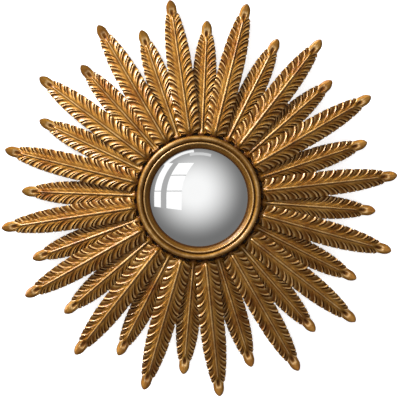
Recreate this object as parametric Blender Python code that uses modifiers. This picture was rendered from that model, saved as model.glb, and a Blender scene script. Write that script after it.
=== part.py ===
"""A round convex wall mirror in a gilded sunburst frame of carved feather leaves.

The flat back of the board lies in the wall plane Y = 0, the glass faces -Y and
+Z is up.  The origin is the middle of the back of the board.  Depths are
measured from the wall towards the front, so a depth D lies at Y = -D.
"""
import math

import bmesh
import bpy

# General sizes, in metres
FIT_GAP = 0.0003                 # air between two pieces that rest on each other
TURN_STEPS = 56                  # facets round each turned piece
MERGE_DISTANCE = 0.00001         # points closer than this are one point
SHARP_ANGLE = math.radians(35)   # edges of turned pieces that bend more stay crisp

# Glass
GLASS_SHOWN_RADIUS = 0.0997      # opening of the bezel, where the glass shows
GLASS_LAP = 0.0033               # how far the glass runs on under the bezel
GLASS_THICKNESS = 0.003
GLASS_BALL_RADIUS = 0.252        # ball that the convex glass is cut from
GLASS_FRONT_RINGS = 4
GLASS_BACK_RINGS = 2

# Turned bezel ring, from the glass outwards
BEZEL_EDGE_HEIGHT = 0.0013       # thin upright edge that meets the glass
COVE_WIDTH = 0.0093              # hollow slope that falls in towards the glass
COVE_RISE = 0.0057
COVE_SAG = 0.0009                # how far the slope is hollowed below a straight one
LIP_WIDTH = 0.0008               # narrow flat at the top of the slope
GROOVE_WIDTH = 0.0032            # quirk between the lip and the bead
GROOVE_DEPTH = 0.0022
BEAD_RADIUS = 0.0055             # half-round bead round the outside
BEAD_STEM = 0.005                # upright side below the bead
BEAD_INNER_ANGLE = 155           # where the bead meets the groove, in degrees from its outer side
BEAD_STEPS = 6

# Back board with the seat that holds the glass
BOARD_THICKNESS = 0.018
BOARD_MARGIN = 0.026             # how far the board reaches past the bezel
SEAT_WIDTH = 0.007               # ledge that the rim of the glass lies on
RIM_CLEARANCE = 0.0004           # round the rim of the glass
RIM_SINK = 0.001                 # the rim lies this far below the top of the seat wall
SEAT_WALL = 0.003                # wall that stands round the rim of the glass

# Leaves, two layers of one motif
LONG_REACH = 0.4008              # centre of the glass to the tip of a long leaf
SHORT_REACH = 0.356
LONG_HALF_WIDTH = 0.0257
SHORT_HALF_WIDTH = 0.0247
LONG_CREST = 0.0095              # height of the midrib above the leaf's underside
SHORT_CREST = 0.009
LONG_BARBS = 13                  # barbs down each side
SHORT_BARBS = 12
LEAF_FALL_SHARE = 0.075          # drop towards the wall for each unit of radius
STEM_ROOM = 0.0005               # between the stems and the seat wall
STEM_SPACING = 0.0014            # between neighbouring stems at their inner ends
STEM_CROWN = 0.0018              # the middle of a stem stands this far above its sides
STEM_OVER = 0.003                # stem of a long leaf above its blade's underside
STEM_SHOWN = 0.0005              # stem that shows outside the bezel
BLADE_START = 0.004              # the blade starts this far outside the bezel
NOSE_LENGTH = 0.0273             # smooth rounded nose at the tip
NOSE_HALF_WIDTH = 0.0091
NOSE_CURL = 0.007                # how far the nose bends forward
NOSE_THICKNESS = 0.0045
NECK_HALF_WIDTH = 0.0079         # slight pinch between the last barb and the nose
MIDRIB_HALF_WIDTH = 0.0044       # at the root
MIDRIB_TIP_HALF_WIDTH = 0.0019
MIDRIB_RISE = 0.0019             # crest above the foot of the midrib
BARB_EDGE_HEIGHT = 0.0036        # end of a barb above the underside
BARB_NOTCH = 0.0026              # how far the grooves cut into the outline
FIRST_BARB_END = 0.013           # end of the first barb past the start of the blade
LAST_BARB_END = 0.0035           # end of the last barb short of the neck

# The leaves were set by hand: each leans a little from its even place, in degrees,
# counted anticlockwise from the leaf that points nearest to +X
LONG_PHASE_ANGLE = 7.4
SHORT_PHASE_ANGLE = 18.7
LONG_LEANS = (-1.0, 0.6, -0.2, 1.1, 0.9, 0.4, 0.5, 1.2, 1.4, -0.3, -0.7, -0.9, -1.4, 0.1, -0.7, -0.4)
SHORT_LEANS = (-0.5, 0.1, -0.2, 1.1, 0.3, 0.5, 0.4, 1.7, 1.5, -0.5, -0.8, -1.2, -1.4, -0.3, -1.0, -0.5)

# Outline of a blade, as shares of its own length and half width
BROADEST_SHARE = 0.5
ROOT_ROUND_SHARE = 0.09          # length of the rounded shoulder at the root
ROOT_NARROWING_SHARE = 0.17
TIP_NARROWING_SHARE = 0.465
TIP_NARROWING_EXPONENT = 2.5
BARB_SWEEP_RATIO = 0.95          # how far a barb runs towards the tip for its width
BARB_CLOSING_SHARE = 0.36        # how much closer the barbs stand at the tip than at the root
CREST_TAPER_SHARE = 0.3          # how much lower the midrib is at the neck
CREST_POINTS = 5
STEM_POINTS = 2                  # points of a rail along the stem, before the first barb
FOOT_LEAD = 0.25                 # a barb's foot is counted this part of a barb ahead of its end
NOSE_STATIONS = ((0.2, 0.88), (0.5, 1.0), (0.82, 0.66))  # shares of length and half width

# Keyhole plate let into the back of the board
PLATE_WIDTH = 0.054
PLATE_HEIGHT = 0.026
PLATE_THICKNESS = 0.002
PLATE_CORNER = 0.004
PLATE_CLEARANCE = 0.0003         # round the plate in its recess
PLATE_SINK = 0.0003              # the plate lies this far inside the back face
HANGER_MARGIN = 0.032            # edge of the board to the top of the plate
KEYHOLE_ENTRY_RADIUS = 0.0055
KEYHOLE_SLOT_RADIUS = 0.00275
KEYHOLE_TRAVEL = 0.010           # from the middle of the entry to the end of the slot
POCKET_MARGIN = 0.002            # pocket past the entry hole and the slot on every side
POCKET_DEPTH = 0.0075            # room for a screw head behind the plate
ROUND_STEPS = 4                  # facets in a quarter circle of the plate
CUTTER_OVERRUN = 0.005           # cutters stand this far out of the back face

# Levels and radii that follow from the sizes above
GLASS_RADIUS = GLASS_SHOWN_RADIUS + GLASS_LAP
BEZEL_RADIUS = GLASS_SHOWN_RADIUS + COVE_WIDTH + LIP_WIDTH + GROOVE_WIDTH + 2 * BEAD_RADIUS
BOARD_RADIUS = BEZEL_RADIUS + BOARD_MARGIN
HANGER_HEIGHT = BOARD_RADIUS - HANGER_MARGIN - PLATE_HEIGHT / 2
SEAT_WALL_INNER = GLASS_RADIUS + RIM_CLEARANCE
SEAT_WALL_OUTER = SEAT_WALL_INNER + SEAT_WALL
STEM_START = SEAT_WALL_OUTER + STEM_ROOM
STEM_END = BEZEL_RADIUS + STEM_SHOWN
BLADE_ROOT = BEZEL_RADIUS + BLADE_START
STEM_BOTTOM = BOARD_THICKNESS + FIT_GAP
LAYER_STEP = SHORT_CREST + FIT_GAP
STEM_TOP = STEM_BOTTOM + LAYER_STEP + STEM_OVER
BEZEL_BOTTOM = STEM_TOP + FIT_GAP
GLASS_RIM_DEPTH = STEM_TOP - RIM_SINK


def leaf_angles(phase, leans):
    """Return where the leaves of one layer point, in radians from +X towards +Z."""
    pitch = 360.0 / len(leans)
    return [math.radians(phase + pitch * index + lean) for index, lean in enumerate(leans)]


def smallest_pitch():
    """Return the smallest angle between two neighbouring leaves, in radians."""
    angles = sorted(leaf_angles(LONG_PHASE_ANGLE, LONG_LEANS) + leaf_angles(SHORT_PHASE_ANGLE, SHORT_LEANS))
    steps = [after - before for before, after in zip(angles, angles[1:])]
    steps.append(angles[0] + 2 * math.pi - angles[-1])
    return min(steps)


def glass_front(radius):
    """Return the depth of the front of the glass at a radius."""
    ball = math.sqrt(GLASS_BALL_RADIUS ** 2 - radius ** 2)
    rim = math.sqrt(GLASS_BALL_RADIUS ** 2 - GLASS_RADIUS ** 2)
    return GLASS_RIM_DEPTH + ball - rim


def glass_back(radius):
    """Return the depth of the back of the glass at a radius."""
    inner_ball = GLASS_BALL_RADIUS - GLASS_THICKNESS
    ball_centre = glass_front(0.0) - GLASS_BALL_RADIUS
    return ball_centre + math.sqrt(inner_ball ** 2 - radius ** 2)


# Scene and materials

def clear_scene():
    """Remove every object and collection that the file starts with."""
    for item in list(bpy.data.objects):
        bpy.data.objects.remove(item)
    for item in list(bpy.data.collections):
        bpy.data.collections.remove(item)


def new_collection(name):
    """Add a collection to the scene."""
    collection = bpy.data.collections.new(name)
    bpy.context.scene.collection.children.link(collection)
    return collection


def new_material(name, colour, roughness, metallic):
    """Make a plain Principled material."""
    material = bpy.data.materials.new(name)
    material.use_nodes = True
    shader = material.node_tree.nodes["Principled BSDF"]
    shader.inputs["Base Color"].default_value = (*colour, 1.0)
    shader.inputs["Roughness"].default_value = roughness
    shader.inputs["Metallic"].default_value = metallic
    material.diffuse_color = (*colour, 1.0)
    return material


def add_object(name, mesh, collection, material=None):
    """Put a mesh into a collection as a named object."""
    item = bpy.data.objects.new(name, mesh)
    collection.objects.link(item)
    if material is not None and not mesh.materials:
        mesh.materials.append(material)
    return item


def baked_mesh(item):
    """Return the evaluated shape of an object as a new welded mesh, and remove the object."""
    graph = bpy.context.evaluated_depsgraph_get()
    mesh = bpy.data.meshes.new_from_object(item.evaluated_get(graph))
    mesh.name = item.name
    bpy.data.objects.remove(item)
    work = bmesh.new()
    work.from_mesh(mesh)
    bmesh.ops.remove_doubles(work, verts=work.verts, dist=MERGE_DISTANCE)
    work.to_mesh(mesh)
    work.free()
    return mesh


# Turned pieces

def turned_piece(name, profile, closed, collection, material):
    """Turn a profile of (radius, depth) points round the axis of the mirror."""
    edges = [(index, index + 1) for index in range(len(profile) - 1)]
    if closed:
        edges.append((len(profile) - 1, 0))
    outline = bpy.data.meshes.new(name)
    outline.from_pydata([(radius, 0.0, depth) for radius, depth in profile], edges, [])
    turning = add_object(name, outline, collection)
    screw = turning.modifiers.new("turn", "SCREW")
    screw.axis = "Z"
    screw.angle = 2 * math.pi
    screw.steps = TURN_STEPS
    screw.render_steps = TURN_STEPS
    screw.use_merge_vertices = True
    screw.merge_threshold = MERGE_DISTANCE
    mesh = baked_mesh(turning)
    mesh.shade_smooth()
    mesh.set_sharp_from_angle(angle=SHARP_ANGLE)
    piece = add_object(name, mesh, collection, material)
    piece.rotation_euler = (math.pi / 2, 0.0, 0.0)
    return piece


def arc_points(centre, radius, start, end, steps):
    """Return points on an arc, with angles in degrees and both ends included."""
    points = []
    for index in range(steps + 1):
        angle = math.radians(start + (end - start) * index / steps)
        points.append((centre[0] + radius * math.cos(angle), centre[1] + radius * math.sin(angle)))
    return points


def build_glass(collection, material):
    """Make the convex glass: a cap of a ball with an even wall."""
    radii = [GLASS_RADIUS * ring / GLASS_FRONT_RINGS for ring in range(GLASS_FRONT_RINGS + 1)]
    profile = [(radius, glass_front(radius)) for radius in radii]
    radii = [GLASS_RADIUS * ring / GLASS_BACK_RINGS for ring in range(GLASS_BACK_RINGS, -1, -1)]
    profile += [(radius, glass_back(radius)) for radius in radii]
    return turned_piece("mirror_glass", profile, False, collection, material)


def build_bezel(collection, material):
    """Make the bezel: a cove that falls to the glass, a quirk and a half-round bead."""
    edge_bottom = glass_front(GLASS_SHOWN_RADIUS) + FIT_GAP
    edge_top = edge_bottom + BEZEL_EDGE_HEIGHT
    lip_inner = GLASS_SHOWN_RADIUS + COVE_WIDTH
    lip_outer = lip_inner + LIP_WIDTH
    lip_depth = edge_top + COVE_RISE
    bead_centre = (BEZEL_RADIUS - BEAD_RADIUS, BEZEL_BOTTOM + BEAD_STEM)
    bead = arc_points(bead_centre, BEAD_RADIUS, BEAD_INNER_ANGLE, 0, BEAD_STEPS)
    groove = (lip_outer + GROOVE_WIDTH / 2, lip_depth - GROOVE_DEPTH)
    cove_middle = (GLASS_SHOWN_RADIUS + COVE_WIDTH / 2, edge_top + COVE_RISE / 2 - COVE_SAG)
    profile = [
        (GLASS_SHOWN_RADIUS, edge_top), cove_middle, (lip_inner, lip_depth),
        (lip_outer, lip_depth), groove, *bead,
        (BEZEL_RADIUS, BEZEL_BOTTOM), (GLASS_RADIUS, BEZEL_BOTTOM),
        (GLASS_SHOWN_RADIUS, edge_bottom),
    ]
    return turned_piece("bezel_ring", profile, True, collection, material)


def build_board(collection, cutters, material):
    """Make the back board, with the raised seat for the glass and the pocket for hanging."""
    seat_depth = glass_back(GLASS_RADIUS) - FIT_GAP
    seat_inner = SEAT_WALL_INNER - SEAT_WIDTH
    profile = [
        (0.0, BOARD_THICKNESS), (seat_inner, BOARD_THICKNESS), (seat_inner, seat_depth),
        (SEAT_WALL_INNER, seat_depth), (SEAT_WALL_INNER, STEM_TOP), (SEAT_WALL_OUTER, STEM_TOP),
        (SEAT_WALL_OUTER, BOARD_THICKNESS), (BOARD_RADIUS, BOARD_THICKNESS), (BOARD_RADIUS, 0.0),
        (0.0, 0.0),
    ]
    board = turned_piece("back_board", profile, False, collection, material)
    recess_width = PLATE_WIDTH / 2 + PLATE_CLEARANCE
    recess_height = PLATE_HEIGHT / 2 + PLATE_CLEARANCE
    recess = rounded_outline(recess_width, recess_height, PLATE_CORNER + PLATE_CLEARANCE)
    cut_into_back(board, "plate_recess_cutter", recess, HANGER_HEIGHT, plate_floor(), cutters)
    half_width = KEYHOLE_ENTRY_RADIUS + POCKET_MARGIN
    half_height = (KEYHOLE_ENTRY_RADIUS + KEYHOLE_TRAVEL + KEYHOLE_SLOT_RADIUS) / 2 + POCKET_MARGIN
    pocket = rounded_outline(half_width, half_height, PLATE_CORNER)
    depth = plate_floor() + POCKET_DEPTH
    cut_into_back(board, "screw_pocket_cutter", pocket, HANGER_HEIGHT, depth, cutters)
    return board


# Hanging plate

def plate_floor():
    """Return the depth of the recess that holds the plate."""
    return PLATE_SINK + PLATE_THICKNESS + FIT_GAP


def rounded_outline(half_width, half_height, corner):
    """Return the outline of a rectangle with round corners, about its middle."""
    points = []
    for turn, (side, rise) in enumerate(((1, 1), (-1, 1), (-1, -1), (1, -1))):
        centre = (side * (half_width - corner), rise * (half_height - corner))
        points += arc_points(centre, corner, 90 * turn, 90 * (turn + 1), ROUND_STEPS)
    return points


def keyhole_outline():
    """Return the outline of the keyhole, centred on the plate."""
    bottom = -(KEYHOLE_ENTRY_RADIUS + KEYHOLE_TRAVEL + KEYHOLE_SLOT_RADIUS) / 2
    entry = (0.0, bottom + KEYHOLE_ENTRY_RADIUS)
    slot_end = (0.0, entry[1] + KEYHOLE_TRAVEL)
    mouth = math.degrees(math.asin(KEYHOLE_SLOT_RADIUS / KEYHOLE_ENTRY_RADIUS))
    steps = 4 * ROUND_STEPS - 1
    points = arc_points(entry, KEYHOLE_ENTRY_RADIUS, 90 + mouth, 450 - mouth, steps)
    points += arc_points(slot_end, KEYHOLE_SLOT_RADIUS, 0, 180, 2 * ROUND_STEPS)
    return points


def flat_mesh(name, outlines, thickness, collection):
    """Return a flat plate mesh in X and Y, filled between outlines and centred on Z = 0."""
    curve = bpy.data.curves.new(name, "CURVE")
    curve.dimensions = "2D"
    curve.fill_mode = "BOTH"
    curve.extrude = thickness / 2
    for outline in outlines:
        spline = curve.splines.new("POLY")
        spline.points.add(len(outline) - 1)
        for point, (across, up) in zip(spline.points, outline):
            point.co = (across, up, 0.0, 1.0)
        spline.use_cyclic_u = True
    return baked_mesh(add_object(name, curve, collection))


def place_on_back(item, height, depth):
    """Stand a flat mesh upright behind the mirror, with its middle at a height and depth."""
    item.rotation_euler = (math.pi / 2, 0.0, 0.0)
    item.location = (0.0, -depth, height)


def cut_into_back(board, name, outline, height, depth, cutters):
    """Cut an outline into the back of the board to a depth."""
    length = depth + CUTTER_OVERRUN
    cutter = add_object(name, flat_mesh(name, [outline], length, cutters), cutters)
    place_on_back(cutter, height, depth - length / 2)
    cutter.hide_render = True
    cutter.display_type = "WIRE"
    cut = board.modifiers.new(name, "BOOLEAN")
    cut.operation = "DIFFERENCE"
    cut.solver = "EXACT"
    cut.object = cutter


def build_hanging_plate(collection, material):
    """Make the steel keyhole plate that lies in the back of the board."""
    outlines = [rounded_outline(PLATE_WIDTH / 2, PLATE_HEIGHT / 2, PLATE_CORNER), keyhole_outline()]
    mesh = flat_mesh("hanging_plate", outlines, PLATE_THICKNESS, collection)
    plate = add_object("hanging_plate", mesh, collection, material)
    place_on_back(plate, HANGER_HEIGHT, PLATE_SINK + PLATE_THICKNESS / 2)
    return plate


# Leaves

class Leaf:
    """Sizes of one kind of leaf, and the heights and widths along it."""

    def __init__(self, reach, half_width, crest, barbs, underside):
        self.reach = reach
        self.half_width = half_width
        self.crest = crest
        self.barbs = barbs
        self.underside_start = underside
        self.neck = reach - NOSE_LENGTH
        self.blade_length = self.neck - BLADE_ROOT

    def share(self, radius):
        """Return how far along the blade a radius lies, from 0 to 1."""
        return (radius - BLADE_ROOT) / self.blade_length

    def width_at(self, radius):
        """Return the half width of the blade, without its notches."""
        share = self.share(radius)
        if share < BROADEST_SHARE:
            narrowing = ROOT_NARROWING_SHARE * (1 - share / BROADEST_SHARE) ** 2
        else:
            past = (share - BROADEST_SHARE) / (1 - BROADEST_SHARE)
            narrowing = TIP_NARROWING_SHARE * past ** TIP_NARROWING_EXPONENT
        width = self.half_width * (1 - narrowing)
        if share < ROOT_ROUND_SHARE:
            short = 1 - share / ROOT_ROUND_SHARE
            stem = stem_half_width()
            width = stem + (width - stem) * math.sqrt(1 - short ** 2)
        return width

    def underside_at(self, radius):
        """Return the depth of the underside, which falls outside the board and curls at the nose."""
        fall = LEAF_FALL_SHARE * max(0.0, radius - BOARD_RADIUS)
        curl = NOSE_CURL * (max(0.0, radius - self.neck) / NOSE_LENGTH) ** 2
        return self.underside_start - fall + curl

    def crest_at(self, radius):
        """Return the depth of the top of the midrib."""
        height = self.crest * (1 - CREST_TAPER_SHARE * self.share(radius))
        return self.underside_at(radius) + height

    def foot_half_width(self, radius):
        """Return the half width of the midrib."""
        change = MIDRIB_TIP_HALF_WIDTH - MIDRIB_HALF_WIDTH
        return MIDRIB_HALF_WIDTH + change * self.share(radius)

    def barb_ends(self):
        """Return the radii where the barbs meet the edge, closer together towards the tip."""
        first = BLADE_ROOT + FIRST_BARB_END
        length = self.neck - LAST_BARB_END - first
        steps = self.barbs - 1
        ends = []
        for index in range(self.barbs):
            share = index / steps
            eased = share * (1 + BARB_CLOSING_SHARE / 2 * (1 - share))
            ends.append(first + length * eased)
        return ends


def stem_half_width():
    """Return the half width of a stem, as wide as the closest pair of leaves lets it be."""
    return STEM_START * math.tan(smallest_pitch() / 2) - STEM_SPACING / 2


def bridge(work, near, far):
    """Fill the strip between two rails, each a list of (station, vertex) in order."""
    first, second = 0, 0
    while first < len(near) - 1 or second < len(far) - 1:
        near_next = near[first + 1][0] if first < len(near) - 1 else math.inf
        far_next = far[second + 1][0] if second < len(far) - 1 else math.inf
        corners = [near[first][1], far[second][1]]
        if near_next < far_next:
            first += 1
            corners.append(near[first][1])
        else:
            second += 1
            corners.append(far[second][1])
        if len(set(corners)) == 3:
            work.faces.new(corners)


def numbered_by_barb(rail, points_per_barb, lead):
    """Number a rail by barb past the stem, so that each foot meets its own barb end."""
    numbered = []
    for index, (_, vertex) in enumerate(rail):
        numbered.append(((index - STEM_POINTS) / points_per_barb - lead, vertex))
    return numbered


class LeafLoft:
    """One leaf along +X, lofted between rails that run from the stem to the tip.

    The crest is the middle of the midrib and the feet are its sides.  The
    edges pass over the ends of the barbs and down into the grooves between
    them, and the under rails join the grooves along the flat underside.
    """

    def __init__(self, leaf):
        self.leaf = leaf
        self.work = bmesh.new()
        self.ends = leaf.barb_ends()
        self.feet = [max(BLADE_ROOT, end - BARB_SWEEP_RATIO * leaf.width_at(end)) for end in self.ends]
        self.nose = self.nose_middle()

    def point(self, radius, across, depth):
        """Add a point of a rail, with the radius as its station."""
        return radius, self.work.verts.new((radius, -depth, across))

    def nose_middle(self):
        """Return the rail down the middle of the nose, from the neck to the tip."""
        leaf = self.leaf
        rail = []
        for share, height in ((0.0, NOSE_THICKNESS), (0.5, NOSE_THICKNESS), (1.0, NOSE_THICKNESS / 2)):
            radius = leaf.neck + NOSE_LENGTH * share
            rail.append(self.point(radius, 0.0, leaf.underside_at(radius) + height))
        return rail

    def crest(self):
        """Return the rail along the middle of the stem, the midrib and the nose."""
        rail = [self.point(STEM_START, 0.0, STEM_TOP), self.point(STEM_END, 0.0, STEM_TOP)]
        first, last = self.feet[1], self.feet[-1]
        for index in range(CREST_POINTS):
            radius = first + (last - first) * index / (CREST_POINTS - 1)
            rail.append(self.point(radius, 0.0, self.leaf.crest_at(radius)))
        return rail + self.nose

    def stem(self, side):
        """Return the upper corner of the stem at both of its ends."""
        across = side * stem_half_width()
        depth = STEM_TOP - STEM_CROWN
        return [self.point(STEM_START, across, depth), self.point(STEM_END, across, depth)]

    def foot(self, side, stem):
        """Return the rail along one side of the midrib."""
        rail = list(stem)
        for radius in self.feet:
            across = side * self.leaf.foot_half_width(radius)
            rail.append(self.point(radius, across, self.leaf.crest_at(radius) - MIDRIB_RISE))
        return rail + self.nose

    def grooves(self, side):
        """Return the outer ends of the grooves, which lie in the underside, and the neck."""
        leaf = self.leaf
        rail = []
        for before, after in zip(self.ends, self.ends[1:]):
            radius = (before + after) / 2
            across = side * (leaf.width_at(radius) - BARB_NOTCH)
            rail.append(self.point(radius, across, leaf.underside_at(radius)))
        rail.append(self.point(leaf.neck, side * NECK_HALF_WIDTH, leaf.underside_at(leaf.neck)))
        return rail

    def edge(self, side, stem, grooves):
        """Return the rail that rises over each barb's end, dips into each groove and rounds the nose."""
        leaf = self.leaf
        rail = list(stem)
        for end, groove in zip(self.ends, grooves):
            depth = leaf.underside_at(end) + BARB_EDGE_HEIGHT
            rail.append(self.point(end, side * leaf.width_at(end), depth))
            rail.append(groove)
        for along, out in NOSE_STATIONS:
            radius = leaf.neck + NOSE_LENGTH * along
            depth = leaf.underside_at(radius) + NOSE_THICKNESS / 2
            rail.append(self.point(radius, side * NOSE_HALF_WIDTH * out, depth))
        return rail + self.nose[-1:]

    def under(self, side, grooves):
        """Return the rail along one side of the underside."""
        across = side * stem_half_width()
        nose_radius = self.nose[1][0]
        nose_depth = self.leaf.underside_at(nose_radius)
        return [
            self.point(STEM_START, across, STEM_BOTTOM),
            self.point(BEZEL_RADIUS, across, STEM_BOTTOM),
            self.point(BLADE_ROOT, across, self.leaf.underside_start),
            *grooves,
            self.point(nose_radius, side * NECK_HALF_WIDTH, nose_depth),
            self.nose[-1],
        ]

    def mesh(self, name):
        """Fill between the rails and close the inner end of the stem."""
        crest = self.crest()
        unders = []
        end_face = [crest[0][1]]
        for side in (1, -1):
            stem = self.stem(side)
            grooves = self.grooves(side)
            foot = self.foot(side, stem)
            edge = self.edge(side, stem, grooves)
            under = self.under(side, grooves)
            bridge(self.work, crest, foot)
            bridge(self.work, numbered_by_barb(foot, 1, FOOT_LEAD), numbered_by_barb(edge, 2, 0.0))
            bridge(self.work, edge, under)
            unders.append(under)
            corners = [edge[0][1], under[0][1]]
            end_face += corners if side == 1 else corners[::-1]
        bridge(self.work, *unders)
        self.work.faces.new(end_face)
        bmesh.ops.recalc_face_normals(self.work, faces=self.work.faces)
        mesh = bpy.data.meshes.new(name)
        self.work.to_mesh(mesh)
        self.work.free()
        return mesh


def build_leaves(kind, leaf, angles, collection, material):
    """Set the leaves of one layer round the bezel, all from one carving."""
    mesh = LeafLoft(leaf).mesh(kind)
    mesh.materials.append(material)
    for index, angle in enumerate(angles):
        item = add_object(f"{kind}_{index + 1:02d}", mesh, collection)
        item.rotation_euler = (0.0, -angle, 0.0)


def main():
    """Build the whole mirror."""
    clear_scene()
    collection = new_collection("sunburst_wall_mirror")
    cutters = new_collection("cutters")
    long_leaf = Leaf(LONG_REACH, LONG_HALF_WIDTH, LONG_CREST, LONG_BARBS, STEM_BOTTOM + LAYER_STEP)
    short_leaf = Leaf(SHORT_REACH, SHORT_HALF_WIDTH, SHORT_CREST, SHORT_BARBS, STEM_BOTTOM)

    board_stain = new_material("board_stain", (0.055, 0.032, 0.018), 0.7, 0.0)
    plate_steel = new_material("plate_steel", (0.5, 0.5, 0.5), 0.4, 1.0)
    silvered_glass = new_material("silvered_glass", (0.9, 0.92, 0.93), 0.02, 1.0)
    bezel_gilt = new_material("bezel_gilt", (0.36, 0.23, 0.08), 0.38, 0.85)
    long_leaf_gilt = new_material("long_leaf_gilt", (0.5, 0.3, 0.08), 0.42, 0.85)
    short_leaf_gilt = new_material("short_leaf_gilt", (0.4, 0.23, 0.06), 0.45, 0.85)

    build_board(collection, cutters, board_stain)
    build_hanging_plate(collection, plate_steel)
    build_glass(collection, silvered_glass)
    build_bezel(collection, bezel_gilt)
    long_angles = leaf_angles(LONG_PHASE_ANGLE, LONG_LEANS)
    short_angles = leaf_angles(SHORT_PHASE_ANGLE, SHORT_LEANS)
    build_leaves("long_leaf", long_leaf, long_angles, collection, long_leaf_gilt)
    build_leaves("short_leaf", short_leaf, short_angles, collection, short_leaf_gilt)


main()
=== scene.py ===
"""Looks of a round convex wall mirror in a gilded sunburst frame of carved feather leaves.

The back of the board lies in the wall plane Y = 0, the glass faces -Y and +Z is up.
Depths are measured from the wall towards the front, so a depth D lies at Y = -D.
A leaf is carved along +X and then turned to its place round the Y axis.
Lengths are in metres, and angles in radians unless a comment says degrees.
"""
import math

import bmesh
import bpy
from bpy.props import FloatProperty, FloatVectorProperty, IntProperty, PointerProperty
from mathutils import Matrix, Vector


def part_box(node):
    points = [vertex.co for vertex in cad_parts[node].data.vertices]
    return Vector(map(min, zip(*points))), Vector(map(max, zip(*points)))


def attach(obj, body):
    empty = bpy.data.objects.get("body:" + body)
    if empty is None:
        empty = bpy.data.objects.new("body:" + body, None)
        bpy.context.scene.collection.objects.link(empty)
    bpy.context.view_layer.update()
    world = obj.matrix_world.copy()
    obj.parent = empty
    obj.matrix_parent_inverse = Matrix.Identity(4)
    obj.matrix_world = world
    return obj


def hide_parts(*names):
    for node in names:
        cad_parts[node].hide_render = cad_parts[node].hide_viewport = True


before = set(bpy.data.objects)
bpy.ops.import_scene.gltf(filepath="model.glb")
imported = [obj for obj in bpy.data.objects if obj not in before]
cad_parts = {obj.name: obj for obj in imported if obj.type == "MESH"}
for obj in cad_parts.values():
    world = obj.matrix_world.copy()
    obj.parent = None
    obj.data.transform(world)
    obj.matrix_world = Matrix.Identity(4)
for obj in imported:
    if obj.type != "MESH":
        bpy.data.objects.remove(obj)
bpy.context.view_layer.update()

bl_info = {
    "name": "Sunburst Mirror",
    "version": (1, 0, 0),
    "blender": (4, 5, 0),
    "location": "3D View > Sidebar > Mirror",
    "description": "Makes the carved leaves, the bezel, the convex glass and the back of a sunburst mirror",
    "category": "Add Mesh",
}

# Nodes of the frame
LONG_LEAVES = sorted(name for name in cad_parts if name.startswith("long_leaf_"))
SHORT_LEAVES = sorted(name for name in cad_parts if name.startswith("short_leaf_"))
BODY = "root"


def tip_of(node):
    """Return the reach and the angle of a leaf, from the point of its solid farthest from the axis."""
    points = (vertex.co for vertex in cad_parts[node].data.vertices)
    tip = max(points, key=lambda point: math.hypot(point.x, point.z))
    return math.hypot(tip.x, tip.z), math.atan2(tip.z, tip.x)


def radius_of(node):
    """Return the outer radius of a turned solid."""
    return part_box(node)[1].x


def smallest_pitch():
    """Return the smallest angle between two neighbouring leaves."""
    angles = sorted(tip_of(node)[1] for node in LONG_LEAVES + SHORT_LEAVES)
    steps = [after - before for before, after in zip(angles, angles[1:])]
    steps.append(angles[0] + math.tau - angles[-1])
    return min(steps)


# Sizes that the frame gives
LONG_REACH = tip_of(LONG_LEAVES[0])[0]
BEZEL_RADIUS = radius_of("bezel_ring")
GLASS_RADIUS = radius_of("mirror_glass")
BOARD_RADIUS = radius_of("back_board")
GLASS_APEX_DEPTH = -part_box("mirror_glass")[0].y
BEZEL_BOTTOM = -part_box("bezel_ring")[1].y
SEAT_TOP = -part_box("back_board")[0].y
PLATE_LOW, PLATE_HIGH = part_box("hanging_plate")

# Sizes inside the solids
FIT_GAP = 0.0003                 # air between two pieces that rest on each other
GLASS_BALL_RADIUS = 0.252
GLASS_THICKNESS = 0.003
GLASS_SHOWN_RADIUS = 0.0997
BOARD_THICKNESS = 0.018
BOARD_EASE = 0.0015              # round of the board's edges
SEAT_WIDTH = 0.007
RIM_CLEARANCE = 0.0004
SEAT_WALL = 0.003
STEM_ROOM = 0.0005
STEM_SPACING = 0.0014
STEM_SHOWN = 0.0005
BLADE_START = 0.004
LIP_SINK = 0.0005
LIP_ARC = (150, 20)              # degrees
BEAD_ARC = (150, 0)              # degrees
PLATE_CORNER = 0.004
PLATE_EASE = 0.0002              # round of the plate's edges
PLATE_CLEARANCE = 0.0003
KEYHOLE_ENTRY_RADIUS = 0.0055
KEYHOLE_SLOT_RADIUS = 0.00275
KEYHOLE_TRAVEL = 0.010
POCKET_MARGIN = 0.002
POCKET_DEPTH = 0.0075
CUTTER_OVERRUN = 0.005           # how far a cutter stands out of the board's back

# Screws of the hanging plate, by setting, and their shape as shares
SCREW = {"head_radius": 0.0031, "head_height": 0.0014, "slot_width": 0.0009, "spacing": 0.040}
SCREW_SINK = 0.0002              # how far a head is let into the plate
SCREW_SIDES = 40
SCREW_TOP_SHARE = 0.55           # of the head's radius
SLOT_LENGTH_SHARE = 2.4          # of the head's radius
SLOT_SHIFT = -0.15               # of the head's height
FIRST_SLOT_TURN = 0.5
NEXT_SLOT_TURN = 1.9

# Levels and sizes that follow
SEAT_WALL_INNER = GLASS_RADIUS + RIM_CLEARANCE
SEAT_WALL_OUTER = SEAT_WALL_INNER + SEAT_WALL
STEM_START = SEAT_WALL_OUTER + STEM_ROOM
STEM_END = BEZEL_RADIUS + STEM_SHOWN
BLADE_ROOT = BEZEL_RADIUS + BLADE_START
STEM_BOTTOM = BOARD_THICKNESS + FIT_GAP
STEM_TOP = SEAT_TOP
STEM_HALF_WIDTH = STEM_START * math.tan(smallest_pitch() / 2) - STEM_SPACING / 2
PLATE_WIDTH = PLATE_HIGH.x - PLATE_LOW.x
PLATE_HEIGHT = PLATE_HIGH.z - PLATE_LOW.z
PLATE_MIDDLE = (PLATE_LOW.z + PLATE_HIGH.z) / 2
KEYHOLE_HEIGHT = KEYHOLE_ENTRY_RADIUS + KEYHOLE_TRAVEL + KEYHOLE_SLOT_RADIUS

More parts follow.
